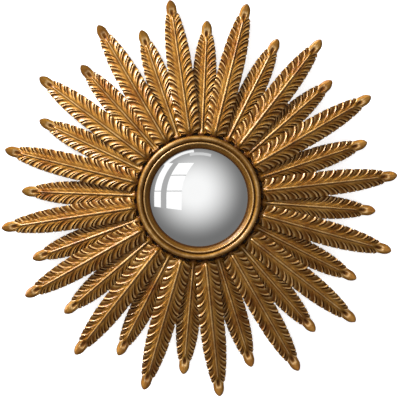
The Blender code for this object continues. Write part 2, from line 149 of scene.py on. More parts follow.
# The two layers of leaves, by setting
LONG_LAYER = {"half_width": 0.0257, "crest": 0.0095, "underside": 0.0276, "barbs": 13, "seed": 1}
SHORT_LAYER = {"half_width": 0.0247, "crest": 0.009, "underside": STEM_BOTTOM, "barbs": 12, "seed": 101}

# How finely a leaf is meshed
RIB_STEPS = 4                    # from the crest to one side of the midrib
BLADE_STEPS = 16                 # from the midrib to the edge
ROLL_STEPS = 3                   # round the edge
UNDER_STEPS = 2                  # from the edge to the middle of the underside
HALF_COLUMNS = RIB_STEPS + BLADE_STEPS + ROLL_STEPS + UNDER_STEPS
COLUMNS = 2 * HALF_COLUMNS + 1
STEM_STEPS = 5
BARB_STEPS = 20
NOSE_STEPS = 16
CARVED_SHARP_ANGLE = math.radians(52)

# How finely the turned pieces and the plate are meshed
TURN_STEPS = 192
GLASS_RINGS = 24
COVE_STEPS = 12
LIP_STEPS = 10
QUIRK_STEPS = 8
BEAD_STEPS = 20
EASE_STEPS = 4
CORNER_STEPS = 8
ENTRY_STEPS = 32
SLOT_STEPS = 16
TURNED_SHARP_ANGLE = math.radians(40)
MERGE_DISTANCE = 0.00001

# Outline of a leaf
BROADEST_SHARE = 0.5             # of the blade's length
ROOT_ROUND_SHARE = 0.05
ROOT_NARROWING = 0.17
TIP_NARROWING = 0.465
TIP_NARROWING_POWER = 2.5
NECK_ROUND = 0.0045
NOSE_BROADEST = 0.42             # as a share of the nose's length
NOSE_ROUNDNESS = 1.7
NOSE_POINTING = 0.6
NOSE_JOIN = 0.001                # share of the nose in which its width takes over from the neck's
NEARLY_ONE = 0.9999              # keeps a root above zero
SMALLEST_WIDTH = 0.001           # keeps a quotient finite at the tip

# Run of the barbs
FIRST_BARB_END = 0.013
LAST_BARB_END = 0.0035
BARB_CLOSING = 0.36              # how much closer the barbs stand towards the tip
SWEEP_CURVE = 0.85               # how much a barb bends between the midrib and the edge
BROAD_CREST = 0.38               # where a broad barb is highest, as a share of the row's step
CUT_CROWDING = 0.42              # how much closer the stations stand at the slits
CUT_OFFSET = 0.15                # where they stand closest, as a share of the row's step
DRIFT_AT_ROOT = (0.0, 1.5)       # barbs from the root, from no drift to all of it
DRIFT_AT_NECK = (1.0, 2.5)       # barbs from the neck
VALLEY_PROFILE = (               # depth from one thin barb over the crest and the hollow of a broad one
    (0.0, 0.10), (0.04, 0.02), (0.12, 0.0), (0.33, 0.0), (0.40, 0.16), (0.50, 0.44), (0.60, 0.62),
    (0.70, 0.74), (0.79, 0.80), (0.86, 0.72), (0.92, 0.42), (0.97, 0.16), (1.0, 0.10),
)
SLIT_PROFILE = (                 # depth of the narrow slit between a thin barb and a crest
    (0.0, 0.0), (0.05, 0.06), (0.10, 0.34), (0.15, 0.80), (0.19, 1.0), (0.24, 0.95), (0.28, 0.55),
    (0.32, 0.08), (0.36, 0.0), (1.0, 0.0),
)
VALLEY_NOTCH = 0.35              # how far a valley goes into the outline, where a slit goes 1

# Hand work: how far a barb, the other side and the next seed lie from each other in the noise
DRIFT_STRIDE = (0.45, 3.1, 7.3)
FIRMNESS_STRIDE = (0.8, 4.7, 5.1)
FIRMNESS_OFFSET = 9.0
MARKS_STRIDE = (2.2, 5.0, 3.7)
MARKS_ACROSS = 2.0               # the same, from the midrib to the edge
MARKS_NOISE = (2.6, 2.0, 0.6)    # scale, detail and roughness

# Section of a leaf
FALL_BEND = 0.3                  # 0 for a straight leaf, more for one that bends back towards its tip
CREST_TAPER = 0.3
GABLE_STRAIGHTNESS = 0.55        # 1 for a straight slope from the midrib to the edge
THINNEST = 0.0007
STEM_CROWN = 0.0018
STEM_BLEND = 0.015               # outside the bezel, from the stem's crest to the blade's
EDGE_BLEND = 0.009               # the same, for the edge
CARVING_BLEND = 0.007            # from the root of the blade to cuts of full depth
NOSE_BLEND = (-0.0165, 0.004)    # about the neck, from the blade's section to the nose's
NOSE_EDGE_SHARE = 0.45           # height of the nose's edge, as a share of its thickness
STEM_RIB_SHARE = 0.6             # midrib on the stem, as a share of the stem's width
WIDEST_RIB_SHARE = 0.45          # of the leaf's width
WIDEST_ROLL_SHARE = 0.4          # of the leaf's width

# Where a form of the leaf sets in and where it is full: along the nose, from the neck to the tip
BLADE_FADE = (0.0, 0.12)
RIB_FADE = (0.02, 0.34)
PIT_START = (0.06, 0.26)
PIT_END = (0.34, 0.72)
NOSE_START = (0.1, 0.3)
NOSE_TIP = (0.5, 1.0)

# The same, across the leaf, from its middle or the midrib to the edge
PIT_SIDE = (0.05, 0.66)
NOSE_SIDE = (0.6, 0.95)
VALLEY_SPAN = (-0.10, 0.50)
SLIT_SPAN = (0.12, 0.60)
CREASE_SPAN = (0.0, 0.16)
MARKS_SPAN = (0.0, 0.2)
LOBE_SPAN = (0.2, 0.8)
RIB_TOP_SPAN = (0.1, 0.85)       # from the crest to the side of the midrib
SIDE_SPAN = (0.0, 0.4)           # round the edge, painted shade
BACK_SPAN = (0.6, 1.0)           # round the edge

# The same, for what the finish reads off the carving
THIN_TOP_SPAN = (0.03, 0.11)     # from the top of a thin barb, as a share of the row's step
LOBE_TOP_SPAN = (0.03, 0.16)     # from the crest of a broad barb
CUT_SPAN = (0.30, 0.95)          # of a cut's depth
PIT_RIM_RISE = (0.05, 0.3)       # of the pit's depth
PIT_RIM_FALL = (0.3, 0.6)
ROOT_SHADE_WIDTH = 0.012          # painted shade next to the bezel, outside the bezel
# The leaf gets darker towards the bezel over this width
ROOT_DARKENING_WIDTH = 0.13

# How much of each is rubbed and lightened as a painted highlight, or darkened; the crease, the pit and the
# nose's edge darken as painted shade
RIB_RUB_AND_HIGHLIGHT = 0.62
LOBE_RUB_AND_HIGHLIGHT = 0.75
CREASE_SHADE = 0.45
ROOT_DARKENING = 0.44
PIT_SHADE = 0.85
NOSE_EDGE_SHADE = 0.55

# Attributes that the carving leaves for the finish
RECESS = "recess"                # 0 on open ground, 1 at the bottom of a cut; it darkens as dirt and painted shade, and also carries the painted shade beside the midrib, next to the bezel, on the rolled edge and on the nose
RIDGE = "ridge"                  # 1 on what a hand would rub, lightened there as a painted highlight
STRAND = "strand"                # along the row of barbs, out along a barb, which side
BACK = "back"                    # 0 on the gilded side, 1 on the plain back
STRAND_NOSE = 2.0                # barbs that the nose counts for
STRAND_RIB = 0.15                # how far the midrib's side lies out along a barb
STRAND_SEED = 3.0                # what keeps one leaf's strokes from the next one's


# Node trees

class Term:
    """A value in a node tree. Arithmetic on it adds Math nodes."""

    def __init__(self, bench, socket):
        self.bench = bench
        self.socket = socket

    def __add__(self, other):
        return self.bench.math("ADD", self, other)

    __radd__ = __add__

    def __sub__(self, other):
        return self.bench.math("SUBTRACT", self, other)

    def __rsub__(self, other):
        return self.bench.math("SUBTRACT", other, self)

    def __mul__(self, other):
        return self.bench.math("MULTIPLY", self, other)

    __rmul__ = __mul__

    def __truediv__(self, other):
        return self.bench.math("DIVIDE", self, other)

    def __pow__(self, other):
        return self.bench.math("POWER", self, other)

    def __neg__(self):
        return self.bench.math("MULTIPLY", self, -1.0)


class Bench:
    """Adds nodes to one tree and wires values into them."""

    def __init__(self, tree):
        self.tree = tree

    def feed(self, socket, value):
        """Link a value to a socket, or set the socket where the value is plain."""
        if isinstance(value, Term):
            value = value.socket
        if isinstance(value, bpy.types.NodeSocket):
            self.tree.links.new(value, socket)
        else:
            socket.default_value = value

    def feed_all(self, node, values):
        """Feed the input sockets of a node, by name or number."""
        for key, value in values.items():
            self.feed(node.inputs[key], value)
        return node

    def node(self, kind, sockets=None, **settings):
        """Add a node, with its settings and the values of its input sockets."""
        node = self.tree.nodes.new(kind)
        for name, value in settings.items():
            setattr(node, name, value)
        return self.feed_all(node, sockets or {})

    def term(self, socket):
        """Wrap a socket for arithmetic."""
        return Term(self, socket)

    def math(self, operation, *values):
        """Add a Math node."""
        node = self.node("ShaderNodeMath", dict(enumerate(values)), operation=operation)
        return self.term(node.outputs[0])

    def low(self, first, second):
        """Return the lower of two values."""
        return self.math("MINIMUM", first, second)

    def high(self, first, *others):
        """Return the highest of some values."""
        for other in others:
            first = self.math("MAXIMUM", first, other)
        return first

    def mixed(self, weights, *values):
        """Return the sum of some values, each times its weight."""
        first, *others = [value * weight for weight, value in zip(weights, values)]
        return sum(others, first)

    def share(self, value, start, end, way="LINEAR"):
        """Return how far a value is from start to end, from 0 to 1."""
        sockets = {"Value": value, "From Min": start, "From Max": end}
        return self.term(self.node("ShaderNodeMapRange", sockets, interpolation_type=way).outputs[0])

    def ease(self, value, start, end):
        """Return how far a value is from start to end, from 0 to 1 with soft ends."""
        return self.share(value, start, end, "SMOOTHSTEP")

    def blend(self, first, second, share):
        """Return a number between two others."""
        sockets = {"Value": share, "To Min": first, "To Max": second}
        return self.term(self.node("ShaderNodeMapRange", sockets).outputs[0])

    def curve(self, value, points):
        """Read a value off a smooth curve through points between 0 and 1."""
        node = self.node("ShaderNodeFloatCurve", {"Value": value})
        line = node.mapping.curves[0]
        while len(line.points) < len(points):
            line.points.new(0.5, 0.5)
        for point, place in zip(line.points, points):
            point.location = place
        node.mapping.update()
        return self.term(node.outputs[0])

    def vector(self, x, y, z):
        """Join three values."""
        return self.node("ShaderNodeCombineXYZ", {0: x, 1: y, 2: z}).outputs[0]

    def stretched(self, vector, scale):
        """Multiply a vector by three factors."""
        node = self.node("ShaderNodeVectorMath", {0: vector, 1: scale}, operation="MULTIPLY")
        return node.outputs[0]

    def noise(self, vector, scale, detail=2.0, roughness=0.5, distortion=0.0):
        """Return smooth noise from 0 to 1."""
        sockets = {"Vector": vector, "Scale": scale, "Detail": detail}
        sockets.update({"Roughness": roughness, "Distortion": distortion})
        return self.term(self.node("ShaderNodeTexNoise", sockets).outputs[0])

    def colour(self, share, first, second):
        """Mix two colours."""
        node = self.node("ShaderNodeMix", data_type="RGBA")
        named = {socket.identifier: socket for socket in node.inputs}
        self.feed(named["Factor_Float"], share)
        self.feed(named["A_Color"], first)
        self.feed(named["B_Color"], second)
        return next(socket for socket in node.outputs if socket.identifier == "Result_Color")


SHAPE_OUT = [("Geometry", "Geometry", None)]


def new_tree(name, kind, inputs, outputs):
    """Make a node group with named sockets, and return its bench, its inputs and its output node."""
    tree = bpy.data.node_groups.new(name, kind)
    for way, sockets in (("INPUT", inputs), ("OUTPUT", outputs)):
        for label, socket_kind, default in sockets:
            item = tree.interface.new_socket(label, in_out=way, socket_type="NodeSocket" + socket_kind)
            if default is not None:
                item.default_value = default
    bench = Bench(tree)
    entry = bench.node("NodeGroupInput")
    given = {label: bench.term(entry.outputs[label]) for label, _, _ in inputs}
    return bench, given, bench.node("NodeGroupOutput")


def handed_over(bench, output, shape, material):
    """End a Geometry Nodes tree: realize its instances and give the shape its material."""
    real = bench.node("GeometryNodeRealizeInstances", {"Geometry": shape})
    dressed = bench.node("GeometryNodeSetMaterial", {"Geometry": real.outputs[0], "Material": material})
    bench.feed(output.inputs[0], dressed.outputs[0])
    return bench.tree


# Meshes

def linked(name, data):
    """Put a mesh, a curve or the like into the scene as an object at the origin."""
    item = bpy.data.objects.new(name, data)
    bpy.context.scene.collection.objects.link(item)
    return item


def evaluated_mesh(item):
    """Return the evaluated shape of an object as a plain mesh, and remove the object."""
    graph = bpy.context.evaluated_depsgraph_get()
    mesh = bpy.data.meshes.new_from_object(item.evaluated_get(graph), depsgraph=graph)
    mesh.name = item.name
    bpy.data.objects.remove(item)
    return mesh


def tidied(mesh, sharp_angle):
    """Weld a closed mesh, turn its faces outwards and shade it."""
    work = bmesh.new()
    work.from_mesh(mesh)
    bmesh.ops.remove_doubles(work, verts=work.verts, dist=MERGE_DISTANCE)
    bmesh.ops.recalc_face_normals(work, faces=work.faces)
    work.to_mesh(mesh)
    work.free()
    mesh.shade_smooth()
    mesh.set_sharp_from_angle(angle=sharp_angle)
    return mesh


def grown(name, tree, values):
    """Run a Geometry Nodes tree with its inputs set, and return the result as a mesh."""
    item = linked(name, bpy.data.meshes.new(name))
    modifier = item.modifiers.new(tree.name, "NODES")
    modifier.node_group = tree
    for socket in tree.interface.items_tree:
        if socket.in_out == "INPUT" and socket.name in values:
            modifier[socket.identifier] = values[socket.name]
    return evaluated_mesh(item)


def finished(name, mesh, material, slot, *nodes):
    """Make a finished piece of a mesh, in place of its solids."""
    if material is not None:
        mesh.materials.clear()
        mesh.materials.append(material)
    piece = linked(name, mesh)
    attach(piece, BODY)
    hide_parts(*nodes)
    return piece


def arc_points(centre, radius, start, end, steps):
    """Return points on an arc, with angles in degrees and both ends included."""
    points = []
    for index in range(steps + 1):
        angle = math.radians(start + (end - start) * index / steps)
        points.append((centre[0] + radius * math.cos(angle), centre[1] + radius * math.sin(angle)))
    return points


def turned_mesh(name, profile, closed):
    """Turn a profile of (radius, depth) points round the axis of the mirror."""
    edges = [(index, index + 1) for index in range(len(profile) - 1)]
    if closed:
        edges.append((len(profile) - 1, 0))
    outline = bpy.data.meshes.new(name)
    outline.from_pydata([(radius, 0.0, depth) for radius, depth in profile], edges, [])
    turning = linked(name, outline)
    screw = turning.modifiers.new("turn", "SCREW")
    screw.axis = "Z"
    screw.steps = TURN_STEPS
    screw.render_steps = TURN_STEPS
    screw.use_merge_vertices = True
    screw.merge_threshold = MERGE_DISTANCE
    mesh = evaluated_mesh(turning)
    mesh.transform(Matrix.Rotation(math.pi / 2, 4, "X"))
    return tidied(mesh, TURNED_SHARP_ANGLE)


# Settings

def length(name, description, default, low=0.0, high=0.1):
    """Return a length setting."""
    return FloatProperty(
        name=name, description=description, default=default, min=low, max=high, precision=5, unit="LENGTH",
    )


def factor(name, description, default, high=1.0):
    """Return a setting that is a plain number."""
    return FloatProperty(name=name, description=description, default=default, min=0.0, max=high)


def whole(name, description, default, low=0):
    """Return a setting that is a whole number."""
    return IntProperty(name=name, description=description, default=default, min=low)


def colour(name, description, default):
    """Return a colour setting."""
    return FloatVectorProperty(
        name=name, description=description, default=default, subtype="COLOR", min=0.0, max=1.0,
    )


def title(name):
    """Return the name of a setting in the words that its socket or its box has."""
    return name.replace("_", " ").title()


class LeafLayer(bpy.types.PropertyGroup):
    """Sizes of the leaves of one layer."""

    half_width: length("Half Width", "Midrib to the broadest edge", LONG_LAYER["half_width"], 0.005)
    crest: length("Crest", "Height of the midrib above the underside at the root", LONG_LAYER["crest"], 0.004)
    underside: length("Underside", "Depth of the underside over the board", LONG_LAYER["underside"])
    barbs: whole("Barbs", "Barbs down each side of the leaf", LONG_LAYER["barbs"], 3)
    seed: whole("Seed", "Seed of the hand work on the first leaf", LONG_LAYER["seed"])


class Carving(bpy.types.PropertyGroup):
    """Sizes of the carving that all the leaves share."""

    leaf_fall: factor("Fall", "Drop towards the wall for each unit of radius outside the board", 0.075)
    nose_length: length("Nose Length", "Length of the smooth nose at the tip", 0.0273, 0.005)
    nose_half_width: length("Nose Half Width", "Half width of the nose", 0.0106, 0.002)
    nose_thickness: length("Nose Thickness", "Thickness of the nose", 0.0045, 0.001)
    nose_curl: length("Nose Curl", "How far the nose bends forward at its tip", 0.007)
    nose_hollow: length("Nose Hollow", "Depth of the pit in the nose", 0.0026, high=0.004)
    neck_half_width: length("Neck Half Width", "Half width between the last barb and the nose", 0.0110, 0.001)
    rib_half_width: length("Midrib Half Width", "Half width of the midrib at the root", 0.0036, 0.001)
    rib_tip_half_width: length("Midrib Tip Half Width", "The same at the neck", 0.0025, 0.0005)
    rib_rise: length("Midrib Rise", "Crest of the midrib above its sides", 0.0020)
    crease_depth: length("Crease Depth", "Cut along both sides of the midrib", 0.0007)
    edge_height: length("Edge Height", "Top of a barb's end above the underside", 0.0027, 0.001)
    edge_roll: length("Edge Roll", "How far the edge is rounded outwards", 0.0015, 0.0001)
    groove_depth: length("Groove Depth", "Depth of the cuts between the barbs", 0.0028, high=0.006)
    notch: length("Notch", "How far the cuts go into the outline", 0.0017, high=0.008)
    sweep: factor("Sweep", "How far a barb runs towards the tip for its width", 0.95, 3.0)
    hand_shift: factor("Uneven Spacing", "How unevenly the barbs are set out, in barbs", 0.16, 0.5)
    hand_depth: factor("Uneven Depth", "How unevenly the cuts are made, as a share of their depth", 0.7)
    tool_marks: length("Tool Marks", "Height of the gouge marks left on the surface", 0.00022, high=0.002)


class Turning(bpy.types.PropertyGroup):
    """Sizes of the turned bezel."""

    opening: length("Opening", "Radius at which the bezel meets the glass", 0.0987, 0.02, 0.5)
    edge_height: length("Edge Height", "Thin upright edge that meets the glass", 0.0013, 0.0005)
    cove_width: length("Cove Width", "Width of the hollow slope that falls in to the glass", 0.0085, 0.002)
    cove_rise: length("Cove Rise", "Height of the hollow slope", 0.0045, 0.001)
    cove_sag: length("Cove Sag", "How far the slope is hollowed", 0.0009)
    lip_width: length("Lip Width", "Width of the round lip at the top of the slope", 0.0034, 0.0002)
    groove_width: length("Quirk Width", "Width of the groove between the lip and the bead", 0.0030, 0.0005)
    groove_depth: length("Quirk Depth", "Depth of the groove between the lip and the bead", 0.0015, 0.0005)
    bead_radius: length("Bead Radius", "Radius of the half-round bead", 0.0055, 0.001)
    bead_stem: length("Bead Stem", "Upright side below the bead", 0.005)


class Finish(bpy.types.PropertyGroup):
    """Colours of the finishes."""

    gold: colour("Gold", "Clean leaf gold", (0.50, 0.250, 0.020))
    # Painted highlight and rubbing: the ridges are lightened towards this gold
    rubbed_and_highlight_gold: colour("Rubbed And Highlight Gold", "Gold rubbed bright on the ridges", (0.74, 0.47, 0.17))
    old_gold: colour("Old Gold", "Gold that has darkened under its varnish", (0.212, 0.057, 0.0003))
    bezel_gold: colour("Bezel Gold", "Darkened gold of the bezel", (0.24, 0.095, 0.006))
    bole: colour("Bole", "Red clay that shows where the gold is rubbed", (0.20, 0.055, 0.018))
    # Painted shade and real dirt: the recesses and shaded places darken towards this colour
    grime: colour("Grime", "Dirt in the cuts", (0.062, 0.0120, 0.0003))
    ochre: colour("Ochre", "Wash on the backs of the leaves", (0.30, 0.165, 0.055))
    stain: colour("Stain", "Stain on the back board", (0.150, 0.068, 0.024))
    steel: colour("Steel", "Brushed steel of the hanging plate", (0.56, 0.55, 0.53))
    rust: colour("Rust", "Spots on the steel", (0.16, 0.065, 0.028))
    silver: colour("Silver", "Silvering of the glass", (0.90, 0.905, 0.905))
    foxing: colour("Foxing", "Dim spots in the silvering", (0.33, 0.31, 0.28))


class Studio(bpy.types.PropertyGroup):
    """Light and camera."""

    key_power: FloatProperty(
        name="Key Power", description="Power of the key light, at the upper left", default=74.0, min=0.0,
        unit="POWER",
    )
    window: factor("Window", "Brightness of the window panes", 1.15, 10.0)
    window_wall: factor("Window Wall", "Brightness between and beside the panes", 0.46, 10.0)
    room: factor("Room", "Brightness of the far room", 0.18, 10.0)
    front: factor("Front", "Brightness of the bright end of the room", 1.04, 10.0)
    camera_distance: length("Camera Distance", "Wall to the camera", 4.0, 1.0, 20.0)


# Leaves

def leaf_tree(carving):
    """Build the Geometry Nodes tree that carves one leaf."""
    inputs = [("Reach", "Float", LONG_REACH), ("Angle", "Float", 0.0), ("Material", "Material", None)]
    for name, default in LONG_LAYER.items():
        inputs.append((title(name), "Int" if isinstance(default, int) else "Float", default))
    inputs += [(title(name), "Float", getattr(carving, name)) for name in Carving.__annotations__]
    bench, size, output = new_tree("Carved Leaf", "GeometryNodeTree", inputs, SHAPE_OUT)
    underside, barbs, seed = size["Underside"], size["Barbs"], size["Seed"]
    neck = size["Reach"] - size["Nose Length"]
    blade_length = neck - BLADE_ROOT

    # Place of each point in the mesh: its station along the leaf and its column round the section
    stem_stations = 1 + STEM_STEPS
    stations = barbs * BARB_STEPS + (stem_stations + NOSE_STEPS + 1)
    grid = bench.node("GeometryNodeMeshGrid", {"Vertices X": stations, "Vertices Y": COLUMNS})
    index = bench.term(bench.node("GeometryNodeInputIndex").outputs[0])
    station = bench.math("FLOOR", (index + 0.5) / COLUMNS)
    column = index - station * COLUMNS - HALF_COLUMNS
    side = bench.math("SIGN", column)
    row = bench.math("ABSOLUTE", column)
    edge_row = RIB_STEPS + BLADE_STEPS
    over_rib = bench.share(row, 0, RIB_STEPS)
    over_blade = bench.share(row, RIB_STEPS, edge_row)
    over_roll = bench.share(row, edge_row, edge_row + ROLL_STEPS)
    over_back = bench.share(row, HALF_COLUMNS - UNDER_STEPS, HALF_COLUMNS)

    # Barb count along the leaf: whole at the middle of a barb, with more stations in the cuts
    closing = bench.share(station, 0, 1)
    along_stem = bench.share(station, 1, stem_stations)
    even = bench.low(bench.high((station - stem_stations) / BARB_STEPS - 0.5, -0.5), barbs - 0.5)
    crowding = bench.math("SINE", (even - CUT_OFFSET) * math.tau) + math.sin((0.5 + CUT_OFFSET) * math.tau)
    count = even + crowding * (CUT_CROWDING / math.tau)
    past_barbs = station - barbs * BARB_STEPS
    nose_station = bench.share(past_barbs, stem_stations, stem_stations + NOSE_STEPS)
    along_nose = bench.math("SINE", nose_station * (math.pi / 2))
    in_blade = 1 - bench.ease(along_nose, *BLADE_FADE)

    def hand_noise(stride, offset, *settings):
        """Noise of the hand work about 0, different on the two sides and from leaf to leaf."""
        along, across, leaf = stride
        place = bench.vector(count * along, side * across + offset, seed * leaf)
        return bench.noise(place, *settings) - 0.5

    # Uneven hand work: the barbs drift along the leaf, and each is cut more or less firmly
    drift = hand_noise(DRIFT_STRIDE, 0.0, 1.0, 0.0) * size["Hand Shift"] * 2
    drift = drift * bench.share(count, *DRIFT_AT_ROOT) * bench.share(barbs - count, *DRIFT_AT_NECK)
    firmness = 1 + hand_noise(FIRMNESS_STRIDE, FIRMNESS_OFFSET, 1.0, 0.0) * size["Hand Depth"] * 2

    # Where a barb meets the edge
    first_end = BLADE_ROOT + FIRST_BARB_END
    end_share = bench.low(bench.high(count + drift, 0.0) / (barbs - 1), 1.0)
    end_run = neck - LAST_BARB_END - first_end
    end = first_end + end_run * end_share * (1 + (1 - end_share) * (BARB_CLOSING / 2))
    end = end + bench.low(count, 0.0) * (2 * FIRST_BARB_END)
    end = end + bench.high(count - barbs + 1, 0.0) * (2 * LAST_BARB_END)

    # Half width of the blade there, without its notches
    blade_share = (end - BLADE_ROOT) / blade_length
    towards_root = bench.high(1 - blade_share / BROADEST_SHARE, 0.0)
    towards_tip = bench.high((blade_share - BROADEST_SHARE) / (1 - BROADEST_SHARE), 0.0)
    narrowing = towards_root ** 2 * ROOT_NARROWING + towards_tip ** TIP_NARROWING_POWER * TIP_NARROWING
    full = size["Half Width"] * (1 - narrowing)

    # How far the barb sweeps back from its end to the midrib
    lag_limit = full * size["Sweep"]
    lag = lag_limit * bench.math("TANH", (end - BLADE_ROOT) / lag_limit) * (1 - along_nose)
    outer = end + (STEM_START - BLADE_ROOT) * (1 - along_stem) + size["Nose Length"] * along_nose
    leaving = 1 - over_blade
    swept = (1 - leaving * leaving) * SWEEP_CURVE + over_blade * (1 - SWEEP_CURVE)
    radius = outer - lag * (1 - swept)

    # Outline
    past_root = bench.high(1 - (end - BLADE_ROOT) / (blade_length * ROOT_ROUND_SHARE), 0.0)
    rounding = bench.math("SQRT", 1 - past_root * past_root)
    width = STEM_HALF_WIDTH + (full - STEM_HALF_WIDTH) * rounding
    near_neck = bench.share(end, neck - NECK_ROUND, neck)
    neck_width = size["Neck Half Width"]
    width = neck_width + (width - neck_width) * bench.math("SQRT", 1 - near_neck * near_neck * NEARLY_ONE)
    swell = bench.math("SINE", bench.low(along_nose / NOSE_BROADEST, 1.0) * (math.pi / 2))
    past_broadest = bench.high((along_nose - NOSE_BROADEST) / (1 - NOSE_BROADEST), 0.0)
    tip_round = bench.high(1 - past_broadest ** NOSE_ROUNDNESS, 0.0) ** NOSE_POINTING
    nose_width = (neck_width + (size["Nose Half Width"] - neck_width) * swell) * tip_round
    width = bench.blend(width, nose_width, bench.share(along_nose, 0.0, NOSE_JOIN))

    # Depth of the cuts across the row of barbs
    phase = bench.math("FRACT", count + 0.5)
    valley = bench.curve(phase, VALLEY_PROFILE)
    slit = bench.curve(phase, SLIT_PROFILE)
    past_stem = bench.ease(outer, BLADE_ROOT, BLADE_ROOT + CARVING_BLEND)
    carved = past_stem * in_blade
    notch = size["Notch"] * bench.high(valley * VALLEY_NOTCH, slit) * carved * firmness
    slit_in = bench.ease(over_blade, *SLIT_SPAN)
    cut = bench.high(valley * bench.ease(over_blade, *VALLEY_SPAN), slit * slit_in)
    groove = size["Groove Depth"] * cut * carved * firmness

    # Section: across
    blade_share = (radius - BLADE_ROOT) / blade_length
    from_stem = bench.ease(radius, STEM_END, STEM_END + STEM_BLEND)
    rib = bench.blend(size["Rib Half Width"], size["Rib Tip Half Width"], blade_share)
    rib = bench.blend(STEM_HALF_WIDTH * STEM_RIB_SHARE, rib, from_stem)
    rib = bench.low(rib, width * WIDEST_RIB_SHARE)
    roll = bench.low(size["Edge Roll"], width * WIDEST_ROLL_SHARE)
    inner = width - notch - roll
    bulge = bench.math("SINE", over_roll * math.pi)
    across = (rib * over_rib + (inner - rib) * over_blade + roll * bulge) * (1 - over_back)

    # Section: how the leaf hangs, and the depths of its crest and its edge
    past_board = bench.high(radius - BOARD_RADIUS, 0.0)
    fall = past_board * size["Leaf Fall"] * (past_board / (LONG_REACH - BOARD_RADIUS)) ** FALL_BEND
    curled = bench.high(radius - neck, 0.0) / size["Nose Length"]
    hang = curled * curled * size["Nose Curl"] - fall
    under = bench.blend(STEM_BOTTOM, underside, bench.share(radius, BEZEL_RADIUS, BLADE_ROOT)) + hang
    near_nose = bench.ease(radius, *(neck + shift for shift in NOSE_BLEND))
    crest = bench.blend(size["Crest"] * (1 - blade_share * CREST_TAPER), size["Nose Thickness"], near_nose)
    crest = bench.blend(STEM_TOP, underside + hang + crest, from_stem)
    edge_height = bench.blend(size["Edge Height"], size["Nose Thickness"] * NOSE_EDGE_SHARE, near_nose)
    edge_in = bench.ease(radius, STEM_END, STEM_END + EDGE_BLEND)
    edge = bench.blend(STEM_TOP - STEM_CROWN, underside + hang + edge_height, edge_in)

    # Section: the carved top
    rise = size["Rib Rise"] * from_stem * (1 - bench.ease(along_nose, *RIB_FADE))
    slope = over_blade * GABLE_STRAIGHTNESS + over_blade * over_blade * (1 - GABLE_STRAIGHTNESS)
    crease = (1 - bench.ease(over_blade, *CREASE_SPAN)) * over_rib * over_rib * carved
    across_share = across / bench.high(width, SMALLEST_WIDTH)
    pit = bench.ease(along_nose, *PIT_START) * (1 - bench.ease(along_nose, *PIT_END))
    pit = (1 - bench.ease(across_share, *PIT_SIDE)) * pit
    top = crest - rise * over_rib * over_rib - (crest - rise - edge) * slope
    top = top - groove - crease * size["Crease Depth"] - pit * size["Nose Hollow"]
    marks = hand_noise(MARKS_STRIDE, over_blade * MARKS_ACROSS, *MARKS_NOISE)
    top = top + marks * size["Tool Marks"] * 2 * past_stem * bench.share(over_blade, *MARKS_SPAN)
    top = bench.high(top, under + THINNEST)

    # Section: from the top round the edge to the underside, closed to a point at both ends
    turned = (bench.math("COSINE", over_roll * math.pi) + 1) * 0.5
    middle = under + size["Nose Thickness"] * 0.5
    upper = bench.blend(middle, top, tip_round)
    lower = bench.blend(middle, under, tip_round)
    depth = bench.blend((STEM_TOP + STEM_BOTTOM) / 2, lower + (upper - lower) * turned, closing)
    place = bench.vector(radius, -depth, across * closing * side)
    shape = bench.node("GeometryNodeSetPosition", {"Geometry": grid.outputs[0], "Position": place}).outputs[0]

    # What a hand has rubbed, lightened there as a painted highlight
    from_thin = bench.low(phase, 1 - phase)
    from_crest = bench.math("ABSOLUTE", phase - BROAD_CREST)
    thin_top = (1 - bench.ease(from_thin, *THIN_TOP_SPAN)) * slit_in * carved
    rib_top = (1 - bench.ease(over_rib, *RIB_TOP_SPAN)) * from_stem * in_blade
    lobe_top = (1 - bench.ease(from_crest, *LOBE_TOP_SPAN)) * bench.share(over_blade, *LOBE_SPAN) * carved
    on_nose = bench.ease(along_nose, *NOSE_START)
    # The rim of the nose's pit is lightened as a painted highlight
    pit_rim = bench.share(pit, *PIT_RIM_RISE) * (1 - bench.share(pit, *PIT_RIM_FALL)) * on_nose
    ridge = bench.high(thin_top, rib_top * RIB_RUB_AND_HIGHLIGHT, lobe_top * LOBE_RUB_AND_HIGHLIGHT, pit_rim)

    # Where dirt and painted shade lie: dirt with painted shade in the cuts, and painted shade in the crease
    # beside the midrib
    in_cut = bench.share(cut, *CUT_SPAN) * carved
    # Painted shade next to the bezel, and the leaf darker towards the bezel
    root_shade = 1 - bench.ease(radius, BEZEL_RADIUS, BEZEL_RADIUS + ROOT_SHADE_WIDTH)
    darker_near_bezel = (1 - bench.share(radius, BEZEL_RADIUS, BEZEL_RADIUS + ROOT_DARKENING_WIDTH)) * ROOT_DARKENING
    # Painted shade on the rolled edge
    edge_shade = bench.share(over_roll, *SIDE_SPAN)
    # Painted shade in the nose's pit and along the nose's edge
    nose_side = bench.share(across_share, *NOSE_SIDE) * on_nose
    nose_edge = bench.high(nose_side, bench.share(along_nose, *NOSE_TIP))
    shaded_nose = bench.high(pit * PIT_SHADE, nose_edge * NOSE_EDGE_SHADE)
    recess = bench.high(in_cut, crease * CREASE_SHADE, root_shade, darker_near_bezel, edge_shade, shaded_nose)

    # What the finish needs to know
    strand_along = count + along_stem + nose_station * STRAND_NOSE
    strand = bench.vector(strand_along, over_blade + over_rib * STRAND_RIB, side + seed * STRAND_SEED)
    for name, kind, value in (
        (RECESS, "FLOAT", recess), (RIDGE, "FLOAT", ridge),
        (BACK, "FLOAT", bench.share(over_roll, *BACK_SPAN)), (STRAND, "FLOAT_VECTOR", strand),
    ):
        sockets = {"Geometry": shape, "Name": name, "Value": value}
        shape = bench.node(
            "GeometryNodeStoreNamedAttribute", sockets, data_type=kind, domain="POINT",
        ).outputs[0]

